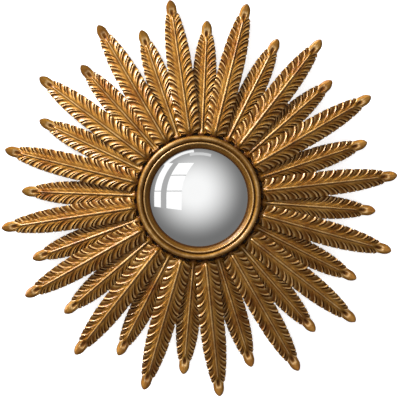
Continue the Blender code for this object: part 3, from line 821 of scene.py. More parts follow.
    # Welded, turned to its place and given its finish
    welded = bench.node("GeometryNodeMergeByDistance", {"Geometry": shape, "Distance": MERGE_DISTANCE})
    turn = bench.vector(0.0, -size["Angle"], 0.0)
    set_out = bench.node("GeometryNodeTransform", {"Geometry": welded.outputs[0], "Rotation": turn})
    return handed_over(bench, output, set_out.outputs[0], size["Material"])


def carve_leaves(scene, nodes, layer):
    """Carve the leaves of one layer, each with its own seed."""
    tree = leaf_tree(scene.mirror_carving)
    material = shared_leaf_material(scene.mirror_finish)
    for index, node in enumerate(nodes):
        reach, angle = tip_of(node)
        values = {title(name): getattr(layer, name) for name in LONG_LAYER}
        values.update({"Reach": reach, "Angle": angle, "Material": material, "Seed": layer.seed + index})
        mesh = tidied(grown(f"carved_{node}", tree, values), CARVED_SHARP_ANGLE)
        finished(f"carved_{node}", mesh, None, "leaf_gilt", node)


# Finishes

# Old gilding: its patterns, as scale, detail, roughness and distortion
PATCHES = (26.0, 3.0, 0.6)
MOTTLE = (210.0, 4.0, 0.65)
SPECKS = (1400.0, 2.0, 0.6)
STROKES = (3.0, 3.0, 0.65, 0.5)
STROKE_STRETCH = (4.6, 1.3, 1.0)

# Old gilding: the weights in a mix, and the values of it at which the mask sets in and is full
TONE_MIX, TONE_SPAN = (0.55, 0.35, 0.25), (0.40, 0.74)      # patches, mottle, strokes
SHINE_MIX, SHINE_SPAN = (1.0, 0.5, 1.3), (0.45, 1.20)       # painted highlight and rubbing: ridge, mottle, patches
DIRT_AND_SHADE_MIX = (0.95, 0.75, 0.5, 0.75, -0.45)                   # dirt and painted shade: recess, mottle, patches, strokes, ridge
DIRT_AND_SHADE_SPAN = (0.22, 0.88)
RUB_MIX, RUB_SPAN = (0.5, 0.8, 0.35), (1.02, 1.14)          # ridge, mottle, patches
FLECK_MIX, FLECK_SPAN = (0.6, 0.5), (0.70, 0.78)            # specks, mottle
FLECK_STRENGTH = 0.55
GILT_ROUGHNESS, ROUGHNESS_MIX = 0.44, (0.12, 0.16, -0.02)   # patches, mottle, ridge
DIRT_AND_SHADE_ROUGHNESS = 0.78
DIRT_AND_SHADE_DULLING, BOLE_DULLING = 0.15, 0.6
VARNISH, VARNISH_MIX = 0.16, (0.60, 0.30)                   # ridge, tone
RELIEF_MIX = (0.55, 0.30, 0.10, -0.15, -0.10)               # strokes, mottle, specks, dirt and painted shade, rubbed

# Wood grain along X: its patterns, and the weights in a mix
GRAIN_LINES = (1.0, 4.0, 0.6, 0.6)
LINE_STRETCH = (9.0, 160.0, 160.0)
PORES = (1.0, 1.0)
PORE_STRETCH = (60.0, 1300.0, 1300.0)
STAINS = (12.0, 3.0)
GRAIN_MIX, GRAIN_SPAN = (0.6, 0.25, 0.35), (0.42, 0.80)     # lines, pores, stains
WOOD_ROUGHNESS, WOOD_ROUGHNESS_MIX = 0.55, (0.2, 0.1)       # lines, pores
WOOD_RELIEF_MIX = (0.6, 0.4)                                # lines, pores

# Leaf gilding
LEAF_DIRT_AND_SHADE = 0.96
LEAF_RUBBING = 0.4
LEAF_COAT = {"Coat_Roughness": 0.34, "Coat_IOR": 1.9}
LEAF_RELIEF = 0.0011
OCHRE_SHADE = 0.45                                          # light of the wash's dark lines

# Bezel gilding
BEZEL_DIRT_AND_SHADE = 0.8
BEZEL_RUBBING = 0.25
BEZEL_COAT = {"Coat_Roughness": 0.36, "Coat_IOR": 1.7}
BEZEL_VARNISH = 1.6                                         # times the gilding's own
BEZEL_ROUGHNESS = 1.1                                       # times the gilding's own
BEZEL_SHADE = 0.85                                          # light of the gold, as a share of the leaves'
BEZEL_RELIEF = 0.00004
TURNING_STROKES = (900.0, 2.5)                              # strokes out from the axis, and round it
QUIRK_SHADE, QUIRK_SPAN = 0.8, (0.0009, 0.0021)              # painted shade in the quirk, from the middle of the quirk
COVE_DIRT_AND_SHADE, COVE_SPAN = 0.56, (-0.004, -0.0012)              # dirt and painted shade in the cove, from the middle of the lip
GLASS_SPAN = (0.0022, 0.0040)                               # painted shade at the glass, from the opening
SIDE_WIDTH = 0.0012                                         # painted shade on the outer side, from the outside of the bezel
LIP_RUB_AND_HIGHLIGHT, LIP_SPAN = 0.7, (0.0008, 0.0018)                   # painted highlight and rubbing on the lip, from the middle of the lip
BEAD_RUB_AND_HIGHLIGHT, BEAD_SPAN = 0.35, (0.0008, 0.0040)                # painted highlight and rubbing on the bead, from the top of the bead

# Silvered glass
SPOTS = (420.0, 5.0, 0.7)
CLOUDS = (34.0, 3.0, 0.5)
FOXING_MIX, FOXING_SPAN = (0.75, 0.22, 0.2), (0.73, 0.84)   # spots, rim, clouds
FOXING_STRENGTH = 0.5
FOXING_RIM = 0.012                                          # width of the foxed rim
GLASS_ROUGHNESS, GLASS_ROUGHNESS_MIX = 0.012, (0.02, 0.35)  # clouds, foxing
GLASS_WAVES, GLASS_RELIEF = (9.0, 1.0), 0.00018

# Board and plate
STAIN_SHADE = 0.35                                          # light of the stain's dark lines
BOARD_RELIEF = 0.0004
BRUSHING, BRUSH_STRETCH = (1.0, 2.0), (60.0, 2600.0, 2600.0)
RUST_SPOTS, RUST_SPAN, RUST_STRENGTH = (300.0, 4.0, 0.7), (0.60, 0.72), 0.7
STEEL_ROUGHNESS, STEEL_ROUGHNESS_MIX = 0.28, (0.18, 0.4)    # brushing, rust
RUST_DULLING = 0.8
STEEL_RELIEF_MIX, STEEL_RELIEF = (0.5, 0.5), 0.00008        # brushing, rust


def gilding_group():
    """Build the shader group for old water gilding: gold over red clay, with dirt and painted shade in the
    cuts and painted highlights on the ridges.
    """
    inputs = [(name, "Vector", None) for name in ("Position", "Strand")]
    inputs += [(name, "Color", None) for name in ("Gold", "Old Gold", "Bright", "Bole", "Grime")]
    inputs += [(name, "Float", None) for name in ("Recess", "Ridge", "Dirt And Shade", "Rubbing")]
    outputs = [(name, "Float", None) for name in ("Roughness", "Metallic", "Height", "Varnish")]
    outputs.append(("Color", "Color", None))
    bench, given, output = new_tree("Old Gilding", "ShaderNodeTree", inputs, outputs)
    position, recess, ridge = given["Position"], given["Recess"], given["Ridge"]
    patches = bench.noise(position, *PATCHES)
    mottle = bench.noise(position, *MOTTLE)
    specks = bench.noise(position, *SPECKS)
    strokes = bench.noise(bench.stretched(given["Strand"], STROKE_STRETCH), *STROKES)

    tone = bench.share(bench.mixed(TONE_MIX, patches, mottle, strokes), *TONE_SPAN)
    gold = bench.colour(tone, given["Old Gold"], given["Gold"])
    # The ridges and random patches are lightened towards the bright gold: rubbing and a painted highlight
    shine = bench.mixed(SHINE_MIX, ridge, mottle, patches - 0.5)
    gold = bench.colour(bench.share(shine, *SHINE_SPAN), gold, given["Bright"])
    # The recess mask and noise darken towards the dark dirt colour: real dirt and painted shade
    dirt = bench.mixed(DIRT_AND_SHADE_MIX, recess, mottle - 0.5, patches - 0.5, strokes - 0.5, ridge)
    dirt = bench.ease(dirt, *DIRT_AND_SHADE_SPAN) * given["Dirt And Shade"]
    rubbed = bench.ease(bench.mixed(RUB_MIX, ridge, mottle, patches), *RUB_SPAN) * given["Rubbing"]
    flecks = bench.ease(bench.mixed(FLECK_MIX, specks, mottle), *FLECK_SPAN) * FLECK_STRENGTH
    surface = bench.colour(rubbed, gold, given["Bole"])
    roughness = bench.mixed(ROUGHNESS_MIX, patches, mottle, ridge) + GILT_ROUGHNESS
    bench.feed_all(output, {
        "Color": bench.colour(bench.high(dirt, flecks), surface, given["Grime"]),
        "Roughness": bench.blend(roughness, DIRT_AND_SHADE_ROUGHNESS, dirt),
        "Metallic": 1 - bench.high(dirt * DIRT_AND_SHADE_DULLING, rubbed * BOLE_DULLING),
        "Varnish": (1 - dirt) * (bench.mixed(VARNISH_MIX, ridge, tone) + VARNISH),
        "Height": bench.mixed(RELIEF_MIX, strokes, mottle, specks, dirt, rubbed),
    })
    return bench.tree


def grain_group():
    """Build the shader group for wood grain, along X."""
    inputs = [("Position", "Vector", None), ("Light", "Color", None), ("Dark", "Color", None)]
    outputs = [("Color", "Color", None), ("Roughness", "Float", None), ("Height", "Float", None)]
    bench, given, output = new_tree("Wood Grain", "ShaderNodeTree", inputs, outputs)
    lines = bench.noise(bench.stretched(given["Position"], LINE_STRETCH), *GRAIN_LINES)
    pores = bench.noise(bench.stretched(given["Position"], PORE_STRETCH), *PORES)
    stains = bench.noise(given["Position"], *STAINS)
    tone = bench.share(bench.mixed(GRAIN_MIX, lines, pores, stains), *GRAIN_SPAN)
    bench.feed_all(output, {
        "Color": bench.colour(tone, given["Dark"], given["Light"]),
        "Roughness": bench.mixed(WOOD_ROUGHNESS_MIX, lines, pores) + WOOD_ROUGHNESS,
        "Height": bench.mixed(WOOD_RELIEF_MIX, lines, pores),
    })
    return bench.tree


def lit(paint, share=1.0):
    """Return a colour with a share of its light, and with full alpha."""
    return (*[part * share for part in paint], 1.0)


class Material:
    """A new material: its bench, its Principled shader and the places on the piece."""

    def __init__(self, name):
        self.material = bpy.data.materials.new(name)
        self.material.use_nodes = True
        self.bench = Bench(self.material.node_tree)
        self.shader = self.material.node_tree.nodes["Principled BSDF"]
        self.position = self.bench.node("ShaderNodeTexCoord").outputs["Object"]

    def attribute(self, name, output):
        """Read an attribute of the mesh."""
        node = self.bench.node("ShaderNodeAttribute", attribute_name=name)
        return self.bench.term(node.outputs[output])

    def off_axis(self):
        """Return how far a point lies from the axis of the mirror, to the right and up."""
        parts = self.bench.node("ShaderNodeSeparateXYZ", {0: self.position})
        right, up = self.bench.term(parts.outputs[0]), self.bench.term(parts.outputs[2])
        return self.bench.math("SQRT", right * right + up * up), right, up

    def placed(self, group, sockets):
        """Place a node group, and return its outputs by name."""
        node = self.bench.node("ShaderNodeGroup", {"Position": self.position, **sockets}, node_tree=group)
        return {output.name: self.bench.term(output) for output in node.outputs}

    def gilt(self, gilding, finish, sockets):
        """Place the gilding, with the colours that all gilded pieces share."""
        shared = {
            "Gold": lit(finish.gold), "Old Gold": lit(finish.old_gold), "Bright": lit(finish.rubbed_and_highlight_gold),
            "Bole": lit(finish.bole), "Grime": lit(finish.grime),
        }
        return self.placed(gilding, {**shared, **sockets})

    def wire(self, **values):
        """Wire values to the shader, by socket name with underscores for spaces."""
        for name, value in values.items():
            self.bench.feed(self.shader.inputs[name.replace("_", " ")], value)

    def bump(self, height, distance):
        """Give the surface a fine relief."""
        node = self.bench.node("ShaderNodeBump", {"Height": height, "Distance": distance, "Strength": 1.0})
        self.bench.feed(self.shader.inputs["Normal"], node.outputs[0])


def leaf_material(finish):
    """Old gilding on the carved side of a leaf, and an ochre wash on its back."""
    made = Material("leaf_gilding")
    bench = made.bench
    back = made.attribute(BACK, "Fac")
    gilt = made.gilt(gilding_group(), finish, {
        "Strand": made.attribute(STRAND, "Vector"), "Recess": made.attribute(RECESS, "Fac"),
        "Ridge": made.attribute(RIDGE, "Fac"), "Dirt And Shade": LEAF_DIRT_AND_SHADE, "Rubbing": LEAF_RUBBING,
    })
    wash = {"Light": lit(finish.ochre), "Dark": lit(finish.ochre, OCHRE_SHADE)}
    wood = made.placed(grain_group(), wash)
    made.wire(
        Base_Color=bench.colour(back, gilt["Color"], wood["Color"]),
        Roughness=bench.blend(gilt["Roughness"], wood["Roughness"], back),
        Metallic=gilt["Metallic"] * (1 - back), Coat_Weight=gilt["Varnish"] * (1 - back), **LEAF_COAT,
    )
    made.bump(bench.blend(gilt["Height"], wood["Height"], back), LEAF_RELIEF)
    return made.material


def shared_leaf_material(finish):
    """Return the finish of the leaves, made once for both layers."""
    return bpy.data.materials.get("leaf_gilding") or leaf_material(finish)


def bezel_material(finish, turning):
    """Smoother, browner gilding on the turned bezel, with painted shade in the quirk, at the glass and on its
    outer side, dirt and painted shade in the cove, and painted highlights with rubbing on the lip and the
    bead.
    """
    made = Material("bezel_gilding")
    bench = made.bench
    radius, right, up = made.off_axis()
    lip = turning.opening + turning.cove_width + turning.lip_width / 2
    quirk = lip + (turning.lip_width + turning.groove_width) / 2
    bead = BEZEL_RADIUS - turning.bead_radius

    def beside(middle, span):
        """1 at a radius, fading to both sides."""
        return 1 - bench.ease(bench.math("ABSOLUTE", radius - middle), *span)

    # Painted shade in the quirk, at the glass and on the outer side; dirt and painted shade in the cove
    in_quirk = beside(quirk, QUIRK_SPAN) * QUIRK_SHADE
    in_cove = (1 - bench.ease(radius, *(lip + shift for shift in COVE_SPAN))) * COVE_DIRT_AND_SHADE
    glass_shade = 1 - bench.ease(radius, *(turning.opening + shift for shift in GLASS_SPAN))
    side_shade = bench.ease(radius, BEZEL_RADIUS - SIDE_WIDTH, BEZEL_RADIUS)
    outwards, round_axis = TURNING_STROKES
    gilt = made.gilt(gilding_group(), finish, {
        "Strand": bench.vector(radius * outwards, bench.math("ARCTAN2", up, right) * round_axis, 0.0),
        "Recess": bench.high(in_quirk, in_cove, glass_shade, side_shade),
        # Painted highlights, with rubbing, on the lip and the bead
        "Ridge": bench.high(beside(lip, LIP_SPAN) * LIP_RUB_AND_HIGHLIGHT, beside(bead, BEAD_SPAN) * BEAD_RUB_AND_HIGHLIGHT),
        "Gold": lit(finish.gold, BEZEL_SHADE), "Old Gold": lit(finish.bezel_gold),
        "Dirt And Shade": BEZEL_DIRT_AND_SHADE, "Rubbing": BEZEL_RUBBING,
    })
    made.wire(
        Base_Color=gilt["Color"], Roughness=gilt["Roughness"] * BEZEL_ROUGHNESS, Metallic=gilt["Metallic"],
        Coat_Weight=gilt["Varnish"] * BEZEL_VARNISH, **BEZEL_COAT,
    )
    made.bump(gilt["Height"], BEZEL_RELIEF)
    return made.material


def silver_material(finish):
    """Silvering seen through clear glass, with a little foxing near the rim."""
    made = Material("silvered_glass")
    bench = made.bench
    near_rim = bench.ease(made.off_axis()[0], GLASS_SHOWN_RADIUS - FOXING_RIM, GLASS_SHOWN_RADIUS)
    spots = bench.noise(made.position, *SPOTS)
    clouds = bench.noise(made.position, *CLOUDS)
    foxed = bench.ease(bench.mixed(FOXING_MIX, spots, near_rim, clouds), *FOXING_SPAN) * FOXING_STRENGTH
    made.wire(
        Base_Color=bench.colour(foxed, lit(finish.silver), lit(finish.foxing)),
        Roughness=bench.mixed(GLASS_ROUGHNESS_MIX, clouds, foxed) + GLASS_ROUGHNESS,
        Metallic=1.0,
    )
    made.bump(bench.noise(made.position, *GLASS_WAVES), GLASS_RELIEF)
    return made.material


def board_material(finish):
    """Dark stained wood."""
    made = Material("board_stain")
    wood = made.placed(grain_group(), {"Light": lit(finish.stain), "Dark": lit(finish.stain, STAIN_SHADE)})
    made.wire(Base_Color=wood["Color"], Roughness=wood["Roughness"])
    made.bump(wood["Height"], BOARD_RELIEF)
    return made.material


def steel_material(finish):
    """Brushed steel with a few brown spots of rust."""
    made = Material("plate_steel")
    bench = made.bench
    brushed = bench.noise(bench.stretched(made.position, BRUSH_STRETCH), *BRUSHING)
    rusty = bench.ease(bench.noise(made.position, *RUST_SPOTS), *RUST_SPAN) * RUST_STRENGTH
    made.wire(
        Base_Color=bench.colour(rusty, lit(finish.steel), lit(finish.rust)),
        Roughness=bench.mixed(STEEL_ROUGHNESS_MIX, brushed, rusty) + STEEL_ROUGHNESS,
        Metallic=1 - rusty * RUST_DULLING,
    )
    made.bump(bench.mixed(STEEL_RELIEF_MIX, brushed, rusty), STEEL_RELIEF)
    return made.material


# Turned pieces

def glass_front(radius):
    """Return the depth of the front of the glass at a radius."""
    return GLASS_APEX_DEPTH - GLASS_BALL_RADIUS + math.sqrt(GLASS_BALL_RADIUS ** 2 - radius ** 2)


def glass_back(radius):
    """Return the depth of the back of the glass at a radius."""
    ball = GLASS_BALL_RADIUS - GLASS_THICKNESS
    return GLASS_APEX_DEPTH - GLASS_BALL_RADIUS + math.sqrt(ball ** 2 - radius ** 2)


def glass_profile():
    """Return the section of the convex glass, from the middle of its front to the middle of its back."""
    radii = [GLASS_RADIUS * ring / GLASS_RINGS for ring in range(GLASS_RINGS + 1)]
    front = [(radius, glass_front(radius)) for radius in radii]
    return front + [(radius, glass_back(radius)) for radius in reversed(radii[::2])]


def bezel_profile(turning):
    """Return the section of the bezel: edge, cove, lip, quirk and bead."""
    opening = turning.opening
    bottom = glass_front(opening) + FIT_GAP
    edge_top = bottom + turning.edge_height
    lip_inner = opening + turning.cove_width
    lip_outer = lip_inner + turning.lip_width
    lip_foot = edge_top + turning.cove_rise
    points = []
    for index in range(COVE_STEPS):
        share = index / COVE_STEPS
        sag = turning.cove_sag * 4 * share * (1 - share)
        points.append((opening + turning.cove_width * share, edge_top + turning.cove_rise * share - sag))
    lip_round = turning.lip_width / 2
    lip_centre = (lip_inner + lip_round, lip_foot - LIP_SINK)
    points += arc_points(lip_centre, lip_round, *LIP_ARC, LIP_STEPS)
    for index in range(1, QUIRK_STEPS):
        share = index / QUIRK_STEPS
        dip = turning.groove_depth * math.sin(math.pi * share)
        points.append((lip_outer + turning.groove_width * share, lip_foot - LIP_SINK - dip))
    bead_centre = (BEZEL_RADIUS - turning.bead_radius, BEZEL_BOTTOM + turning.bead_stem)
    points += arc_points(bead_centre, turning.bead_radius, *BEAD_ARC, BEAD_STEPS)
    on_glass = (GLASS_SHOWN_RADIUS, glass_front(GLASS_SHOWN_RADIUS) + FIT_GAP)
    return points + [(BEZEL_RADIUS, BEZEL_BOTTOM), (GLASS_RADIUS, BEZEL_BOTTOM), on_glass, (opening, bottom)]


def board_profile():
    """Return the section of the back board, with eased edges and the seat for the glass."""
    seat_depth = glass_back(GLASS_RADIUS) - FIT_GAP
    seat_inner = SEAT_WALL_INNER - SEAT_WIDTH
    edge = BOARD_RADIUS - BOARD_EASE
    outside = arc_points((edge, BOARD_THICKNESS - BOARD_EASE), BOARD_EASE, 90, 0, EASE_STEPS)
    outside += arc_points((edge, BOARD_EASE), BOARD_EASE, 0, -90, EASE_STEPS)
    return [
        (0.0, BOARD_THICKNESS), (seat_inner, BOARD_THICKNESS), (seat_inner, seat_depth),
        (SEAT_WALL_INNER, seat_depth), (SEAT_WALL_INNER, STEM_TOP), (SEAT_WALL_OUTER, STEM_TOP),
        (SEAT_WALL_OUTER, BOARD_THICKNESS), *outside, (0.0, 0.0),
    ]


# Hanging plate

def rounded_outline(width, height, corner):
    """Return the outline of a rectangle with round corners, about its middle."""
    points = []
    for turn, (side, rise) in enumerate(((1, 1), (-1, 1), (-1, -1), (1, -1))):
        centre = (side * (width / 2 - corner), rise * (height / 2 - corner))
        points += arc_points(centre, corner, 90 * turn, 90 * (turn + 1), CORNER_STEPS)
    return points


def keyhole_outline():
    """Return the outline of the keyhole, centred on the plate."""
    entry_height = KEYHOLE_ENTRY_RADIUS - KEYHOLE_HEIGHT / 2
    mouth = math.degrees(math.asin(KEYHOLE_SLOT_RADIUS / KEYHOLE_ENTRY_RADIUS))
    points = arc_points((0.0, entry_height), KEYHOLE_ENTRY_RADIUS, 90 + mouth, 450 - mouth, ENTRY_STEPS)
    return points + arc_points((0.0, entry_height + KEYHOLE_TRAVEL), KEYHOLE_SLOT_RADIUS, 0, 180, SLOT_STEPS)


def upright_plate(name, outlines, back_depth, front_depth, ease=0.0):
    """Return an upright flat mesh behind the mirror, between two depths, at the height of the plate."""
    curve = bpy.data.curves.new(name, "CURVE")
    curve.dimensions = "2D"
    curve.fill_mode = "BOTH"
    curve.extrude = (front_depth - back_depth) / 2 - ease
    curve.bevel_depth = ease
    curve.bevel_resolution = 2
    curve.offset = -ease
    for outline in outlines:
        spline = curve.splines.new("POLY")
        spline.points.add(len(outline) - 1)
        for point, (across, up) in zip(spline.points, outline):
            point.co = (across, up, 0.0, 1.0)
        spline.use_cyclic_u = True
    mesh = evaluated_mesh(linked(name, curve))
    middle = Vector((0.0, -(back_depth + front_depth) / 2, PLATE_MIDDLE))
    mesh.transform(Matrix.Translation(middle) @ Matrix.Rotation(math.pi / 2, 4, "X"))
    return tidied(mesh, TURNED_SHARP_ANGLE)


def screw_tree():
    """Build the Geometry Nodes tree for the two slotted screws of the hanging plate."""
    inputs = [(title(name), "Float", default) for name, default in SCREW.items()]
    inputs += [("Place", "Vector", None), ("Material", "Material", None)]
    bench, size, output = new_tree("Slotted Screws", "GeometryNodeTree", inputs, SHAPE_OUT)
    radius, height, spacing = size["Head Radius"], size["Head Height"], size["Spacing"]
    head = bench.node("GeometryNodeMeshCone", {
        "Vertices": SCREW_SIDES, "Side Segments": 1, "Radius Top": radius * SCREW_TOP_SHARE,
        "Radius Bottom": radius, "Depth": height,
    })
    slot_size = bench.vector(radius * SLOT_LENGTH_SHARE, size["Slot Width"], height)
    slot = bench.node("GeometryNodeMeshCube", {"Size": slot_size})
    lowered = bench.node("GeometryNodeTransform", {
        "Geometry": slot.outputs[0], "Translation": bench.vector(0.0, 0.0, height * SLOT_SHIFT),
    })
    cut = bench.node("GeometryNodeMeshBoolean", operation="DIFFERENCE")
    bench.feed_all(cut, {"Mesh 1": head.outputs["Mesh"], "Mesh 2": lowered.outputs[0]})
    line = bench.node("GeometryNodeMeshLine", {
        "Count": 2, "Start Location": bench.vector(-(spacing * 0.5), 0.0, 0.0),
        "Offset": bench.vector(spacing, 0.0, 0.0),
    })
    index = bench.term(bench.node("GeometryNodeInputIndex").outputs[0])
    turn = bench.vector(0.0, 0.0, FIRST_SLOT_TURN + index * NEXT_SLOT_TURN)
    placed = bench.node("GeometryNodeInstanceOnPoints", {
        "Points": line.outputs[0], "Instance": cut.outputs[0], "Rotation": turn,
    })
    upright = bench.node("GeometryNodeTransform", {
        "Geometry": placed.outputs[0], "Translation": size["Place"], "Rotation": (-math.pi / 2, 0.0, 0.0),
    })
    return handed_over(bench, output, upright.outputs[0], size["Material"])


# Studio

PHOTO_SIZE = 400                 # pixels, both ways
PHOTO_SCALE = 0.002              # metres to a pixel at the leaves
AXIS_PIXEL = (198.85, 197.6)     # where the axis of the mirror lies in the photograph
LEAF_PLANE_DEPTH = 0.03

# Windows in the mirror, in degrees off its axis
WINDOW_LEVELS = (-8.6, 6.4, 21.7, 33.6)    # foot, two bars and head, up
FAR_WINDOW = (-43.5, -37.0)      # left and right side
NEAR_WINDOW = (-31.5, -16.6)
WINDOW_BAR = 0.8
WINDOW_LEAN = 0.0037             # how the sides lean
WINDOW_LEAN_POWER = 2.3
WINDOW_FOOT_DROP = 0.0146        # how the foot sinks towards the middle, for each degree below the axis
WINDOW_STEPS = 8
STRIP_STEPS = 12
CEILING_STRIP = (41.4, 44.2, 74.0, 102.0)    # inner and outer side off the axis, start and end round it
CEILING_RIM = (44.5, 47.0, 96.0, 137.0)
STRIP_SHARE = 0.6                # brightness, as a share of the window's
RIM_SHARE = 0.9
PANE_DISTANCE = 3.0
WINDOW_WALL_DISTANCE = 3.1

# The far room
GLOW_DIRECTION = (-0.066, -0.990, 0.12)
GLOW_SPAN = (8.0, 49.5)          # degrees off that direction, from full to none
NEUTRAL = (1.0, 1.0, 1.0, 1.0)

# Lights and surfaces of the stage
KEY_LIGHT_PLACE, KEY_LIGHT_SIZE = (-1.35, -1.05, 1.45), 0.42
BACK_LIGHT_PLACE, BACK_LIGHT_SIZE, BACK_LIGHT_POWER = (-1.2, 2.4, 1.3), 1.2, 34.0
STAGE_REACH = 4.0
FLOOR_LEVEL = -1.15
CEILING_LEVEL = 3.0
WALL_GAP = 0.0015                # behind the board
WALL_PAINT = (0.72, 0.715, 0.73, 1.0)
WALL_GLOW = 0.72
FLOOR_PAINT = (0.78, 0.77, 0.75, 1.0)
FLOOR_ROUGHNESS = 0.8


def add_light(name, place, size, power):
    """Add a square area light that faces the mirror."""
    light = bpy.data.lights.new(name, "AREA")
    light.shape = "RECTANGLE"
    light.size = light.size_y = size
    light.energy = power
    item = linked(name, light)
    item.location = place
    item.rotation_euler = (-Vector(place)).to_track_quat("-Z", "Y").to_euler()
    item.visible_camera = False


def add_stage_plane(name, corners, material, faces=((0, 1, 2, 3),)):
    """Add a thin surface that is only part of the stage."""
    mesh = bpy.data.meshes.new(name)
    mesh.from_pydata(corners, [], faces)
    mesh.materials.append(material)
    item = linked(name, mesh)
    return item


def bare_material(name):
    """Return a new material with an empty tree, and its bench."""
    material = bpy.data.materials.new(name)
    material.use_nodes = True
    material.node_tree.nodes.clear()
    return material, Bench(material.node_tree)


def sight(across, up, distance):
    """Return the point at a distance that the mirror sees at two angles, in degrees off its axis."""
    off_axis = math.radians(math.hypot(across, up))
    turn = math.atan2(up, across)
    side = distance * math.sin(off_axis)
    return side * math.cos(turn), -distance * math.cos(off_axis), side * math.sin(turn)


def add_glow(name, rows, radiance, distance=PANE_DISTANCE):
    """Hang a glowing sheet in front of the mirror: rows of two points, each as two angles in degrees."""
    corners = [sight(across, up, distance) for row in rows for across, up in row]
    faces = [(2 * index, 2 * index + 1, 2 * index + 3, 2 * index + 2) for index in range(len(rows) - 1)]
    material, bench = bare_material(name)
    glow = bench.node("ShaderNodeEmission", {"Strength": radiance})
    bench.node("ShaderNodeOutputMaterial", {"Surface": glow.outputs[0]})
    add_stage_plane(name, corners, material, faces).visible_camera = False


def window_rows(sides, low, high):
    """Return the rows of a pane whose sides lean inwards towards the top."""
    rows = []
    for index in range(WINDOW_STEPS + 1):
        up = low + (high - low) * index / WINDOW_STEPS
        lean = WINDOW_LEAN * max(up, 0.0) ** WINDOW_LEAN_POWER
        drop = WINDOW_FOOT_DROP * max(-up, 0.0)
        rows.append([(across + lean, up - drop * (across - FAR_WINDOW[0])) for across in sides])
    return rows


def strip_rows(inner, outer, start, end):
    """Return the rows of a curved strip round the axis of the mirror."""
    rows = []
    for index in range(STRIP_STEPS + 1):
        turn = math.radians(start + (end - start) * index / STRIP_STEPS)
        rows.append([(off * math.cos(turn), off * math.sin(turn)) for off in (inner, outer)])
    return rows


def add_windows(studio):
    """Hang the two windows and the bright strips under the ceiling that the mirror shows."""
    foot, bar, upper_bar, head = WINDOW_LEVELS
    half = WINDOW_BAR / 2
    wall = window_rows((FAR_WINDOW[0], NEAR_WINDOW[1]), foot, head)
    add_glow("window_wall", wall, studio.window_wall, WINDOW_WALL_DISTANCE)
    near_levels = ((foot, bar - half), (bar + half, upper_bar - half), (upper_bar + half, head))
    for index, (low, high) in enumerate(near_levels):
        add_glow(f"near_window_{index}", window_rows(NEAR_WINDOW, low, high), studio.window)
    for index, (low, high) in enumerate(((foot, bar - half), (bar + half, head))):
        add_glow(f"far_window_{index}", window_rows(FAR_WINDOW, low, high), studio.window)
    add_glow("ceiling_strip", strip_rows(*CEILING_STRIP), studio.window * STRIP_SHARE)
    add_glow("ceiling_rim", strip_rows(*CEILING_RIM), studio.window * RIM_SHARE)


def wall_material():
    """White wall that only shows from the front, so that the back of the mirror can be seen."""
    material, bench = bare_material("studio_wall")
    paint = bench.node("ShaderNodeBsdfDiffuse", {"Color": WALL_PAINT})
    glow = bench.node("ShaderNodeEmission", {"Color": NEUTRAL, "Strength": WALL_GLOW})
    none = bench.node("ShaderNodeEmission", {"Strength": 0.0})
    clear = bench.node("ShaderNodeBsdfTransparent")
    path = bench.node("ShaderNodeLightPath")
    from_behind = bench.term(bench.node("ShaderNodeNewGeometry").outputs["Backfacing"])
    seen_glow = bench.node("ShaderNodeMixShader", {
        0: path.outputs["Is Camera Ray"], 1: none.outputs[0], 2: glow.outputs[0],
    })
    both = bench.node("ShaderNodeAddShader", {0: paint.outputs[0], 1: seen_glow.outputs[0]})
    sides = bench.node("ShaderNodeMixShader", {
        0: bench.high(from_behind, path.outputs["Is Shadow Ray"]), 1: both.outputs[0], 2: clear.outputs[0],
    })
    bench.node("ShaderNodeOutputMaterial", {"Surface": sides.outputs[0]})
    return material


def floor_material():
    """Pale matt floor."""
    made = Material("studio_floor")
    made.wire(Base_Color=FLOOR_PAINT, Roughness=FLOOR_ROUGHNESS)
    return made.material


def add_wall_and_floor():
    """Put up the white wall behind the mirror and the pale floor."""
    ends = (-STAGE_REACH, STAGE_REACH)
    left, right = ends
    wall = [(left, WALL_GAP, FLOOR_LEVEL), (right, WALL_GAP, FLOOR_LEVEL)]
    wall += [(right, WALL_GAP, CEILING_LEVEL), (left, WALL_GAP, CEILING_LEVEL)]
    add_stage_plane("studio_wall", wall, wall_material())
    ground = [(left, left), (right, left), (right, right), (left, right)]
    corners = [(across, away, FLOOR_LEVEL) for across, away in ground]
    add_stage_plane("studio_floor", corners, floor_material()).visible_glossy = False


def light_the_room(studio):
    """Make the far room: bright in front of the mirror, dim to the sides and below."""
    world = bpy.data.worlds.new("studio_room")
    world.use_nodes = True
    bench = Bench(world.node_tree)
    sky = bench.node("ShaderNodeTexCoord").outputs["Generated"]
    towards = bench.node("ShaderNodeVectorMath", {0: sky, 1: GLOW_DIRECTION}, operation="DOT_PRODUCT")
    off_axis = bench.math("ARCCOSINE", bench.term(towards.outputs["Value"])) * (180 / math.pi)
    strength = bench.blend(studio.room, studio.front, 1 - bench.ease(off_axis, *GLOW_SPAN))
    bench.feed_all(world.node_tree.nodes["Background"], {"Strength": strength, "Color": NEUTRAL})
    bpy.context.scene.world = world


def add_camera(studio):
    """Place the camera straight in front, framed as the photograph is."""
    camera = bpy.data.cameras.new("camera")
    distance = studio.camera_distance
    camera.lens = camera.sensor_width * (distance - LEAF_PLANE_DEPTH) / (PHOTO_SIZE * PHOTO_SCALE)
    item = linked("camera", camera)
    half = PHOTO_SIZE / 2
    right, up = (half - AXIS_PIXEL[0]) * PHOTO_SCALE, (AXIS_PIXEL[1] - half) * PHOTO_SCALE
    item.location = (right, -distance, up)
    item.rotation_euler = (math.pi / 2, 0.0, 0.0)
    bpy.context.scene.camera = item


# Operators

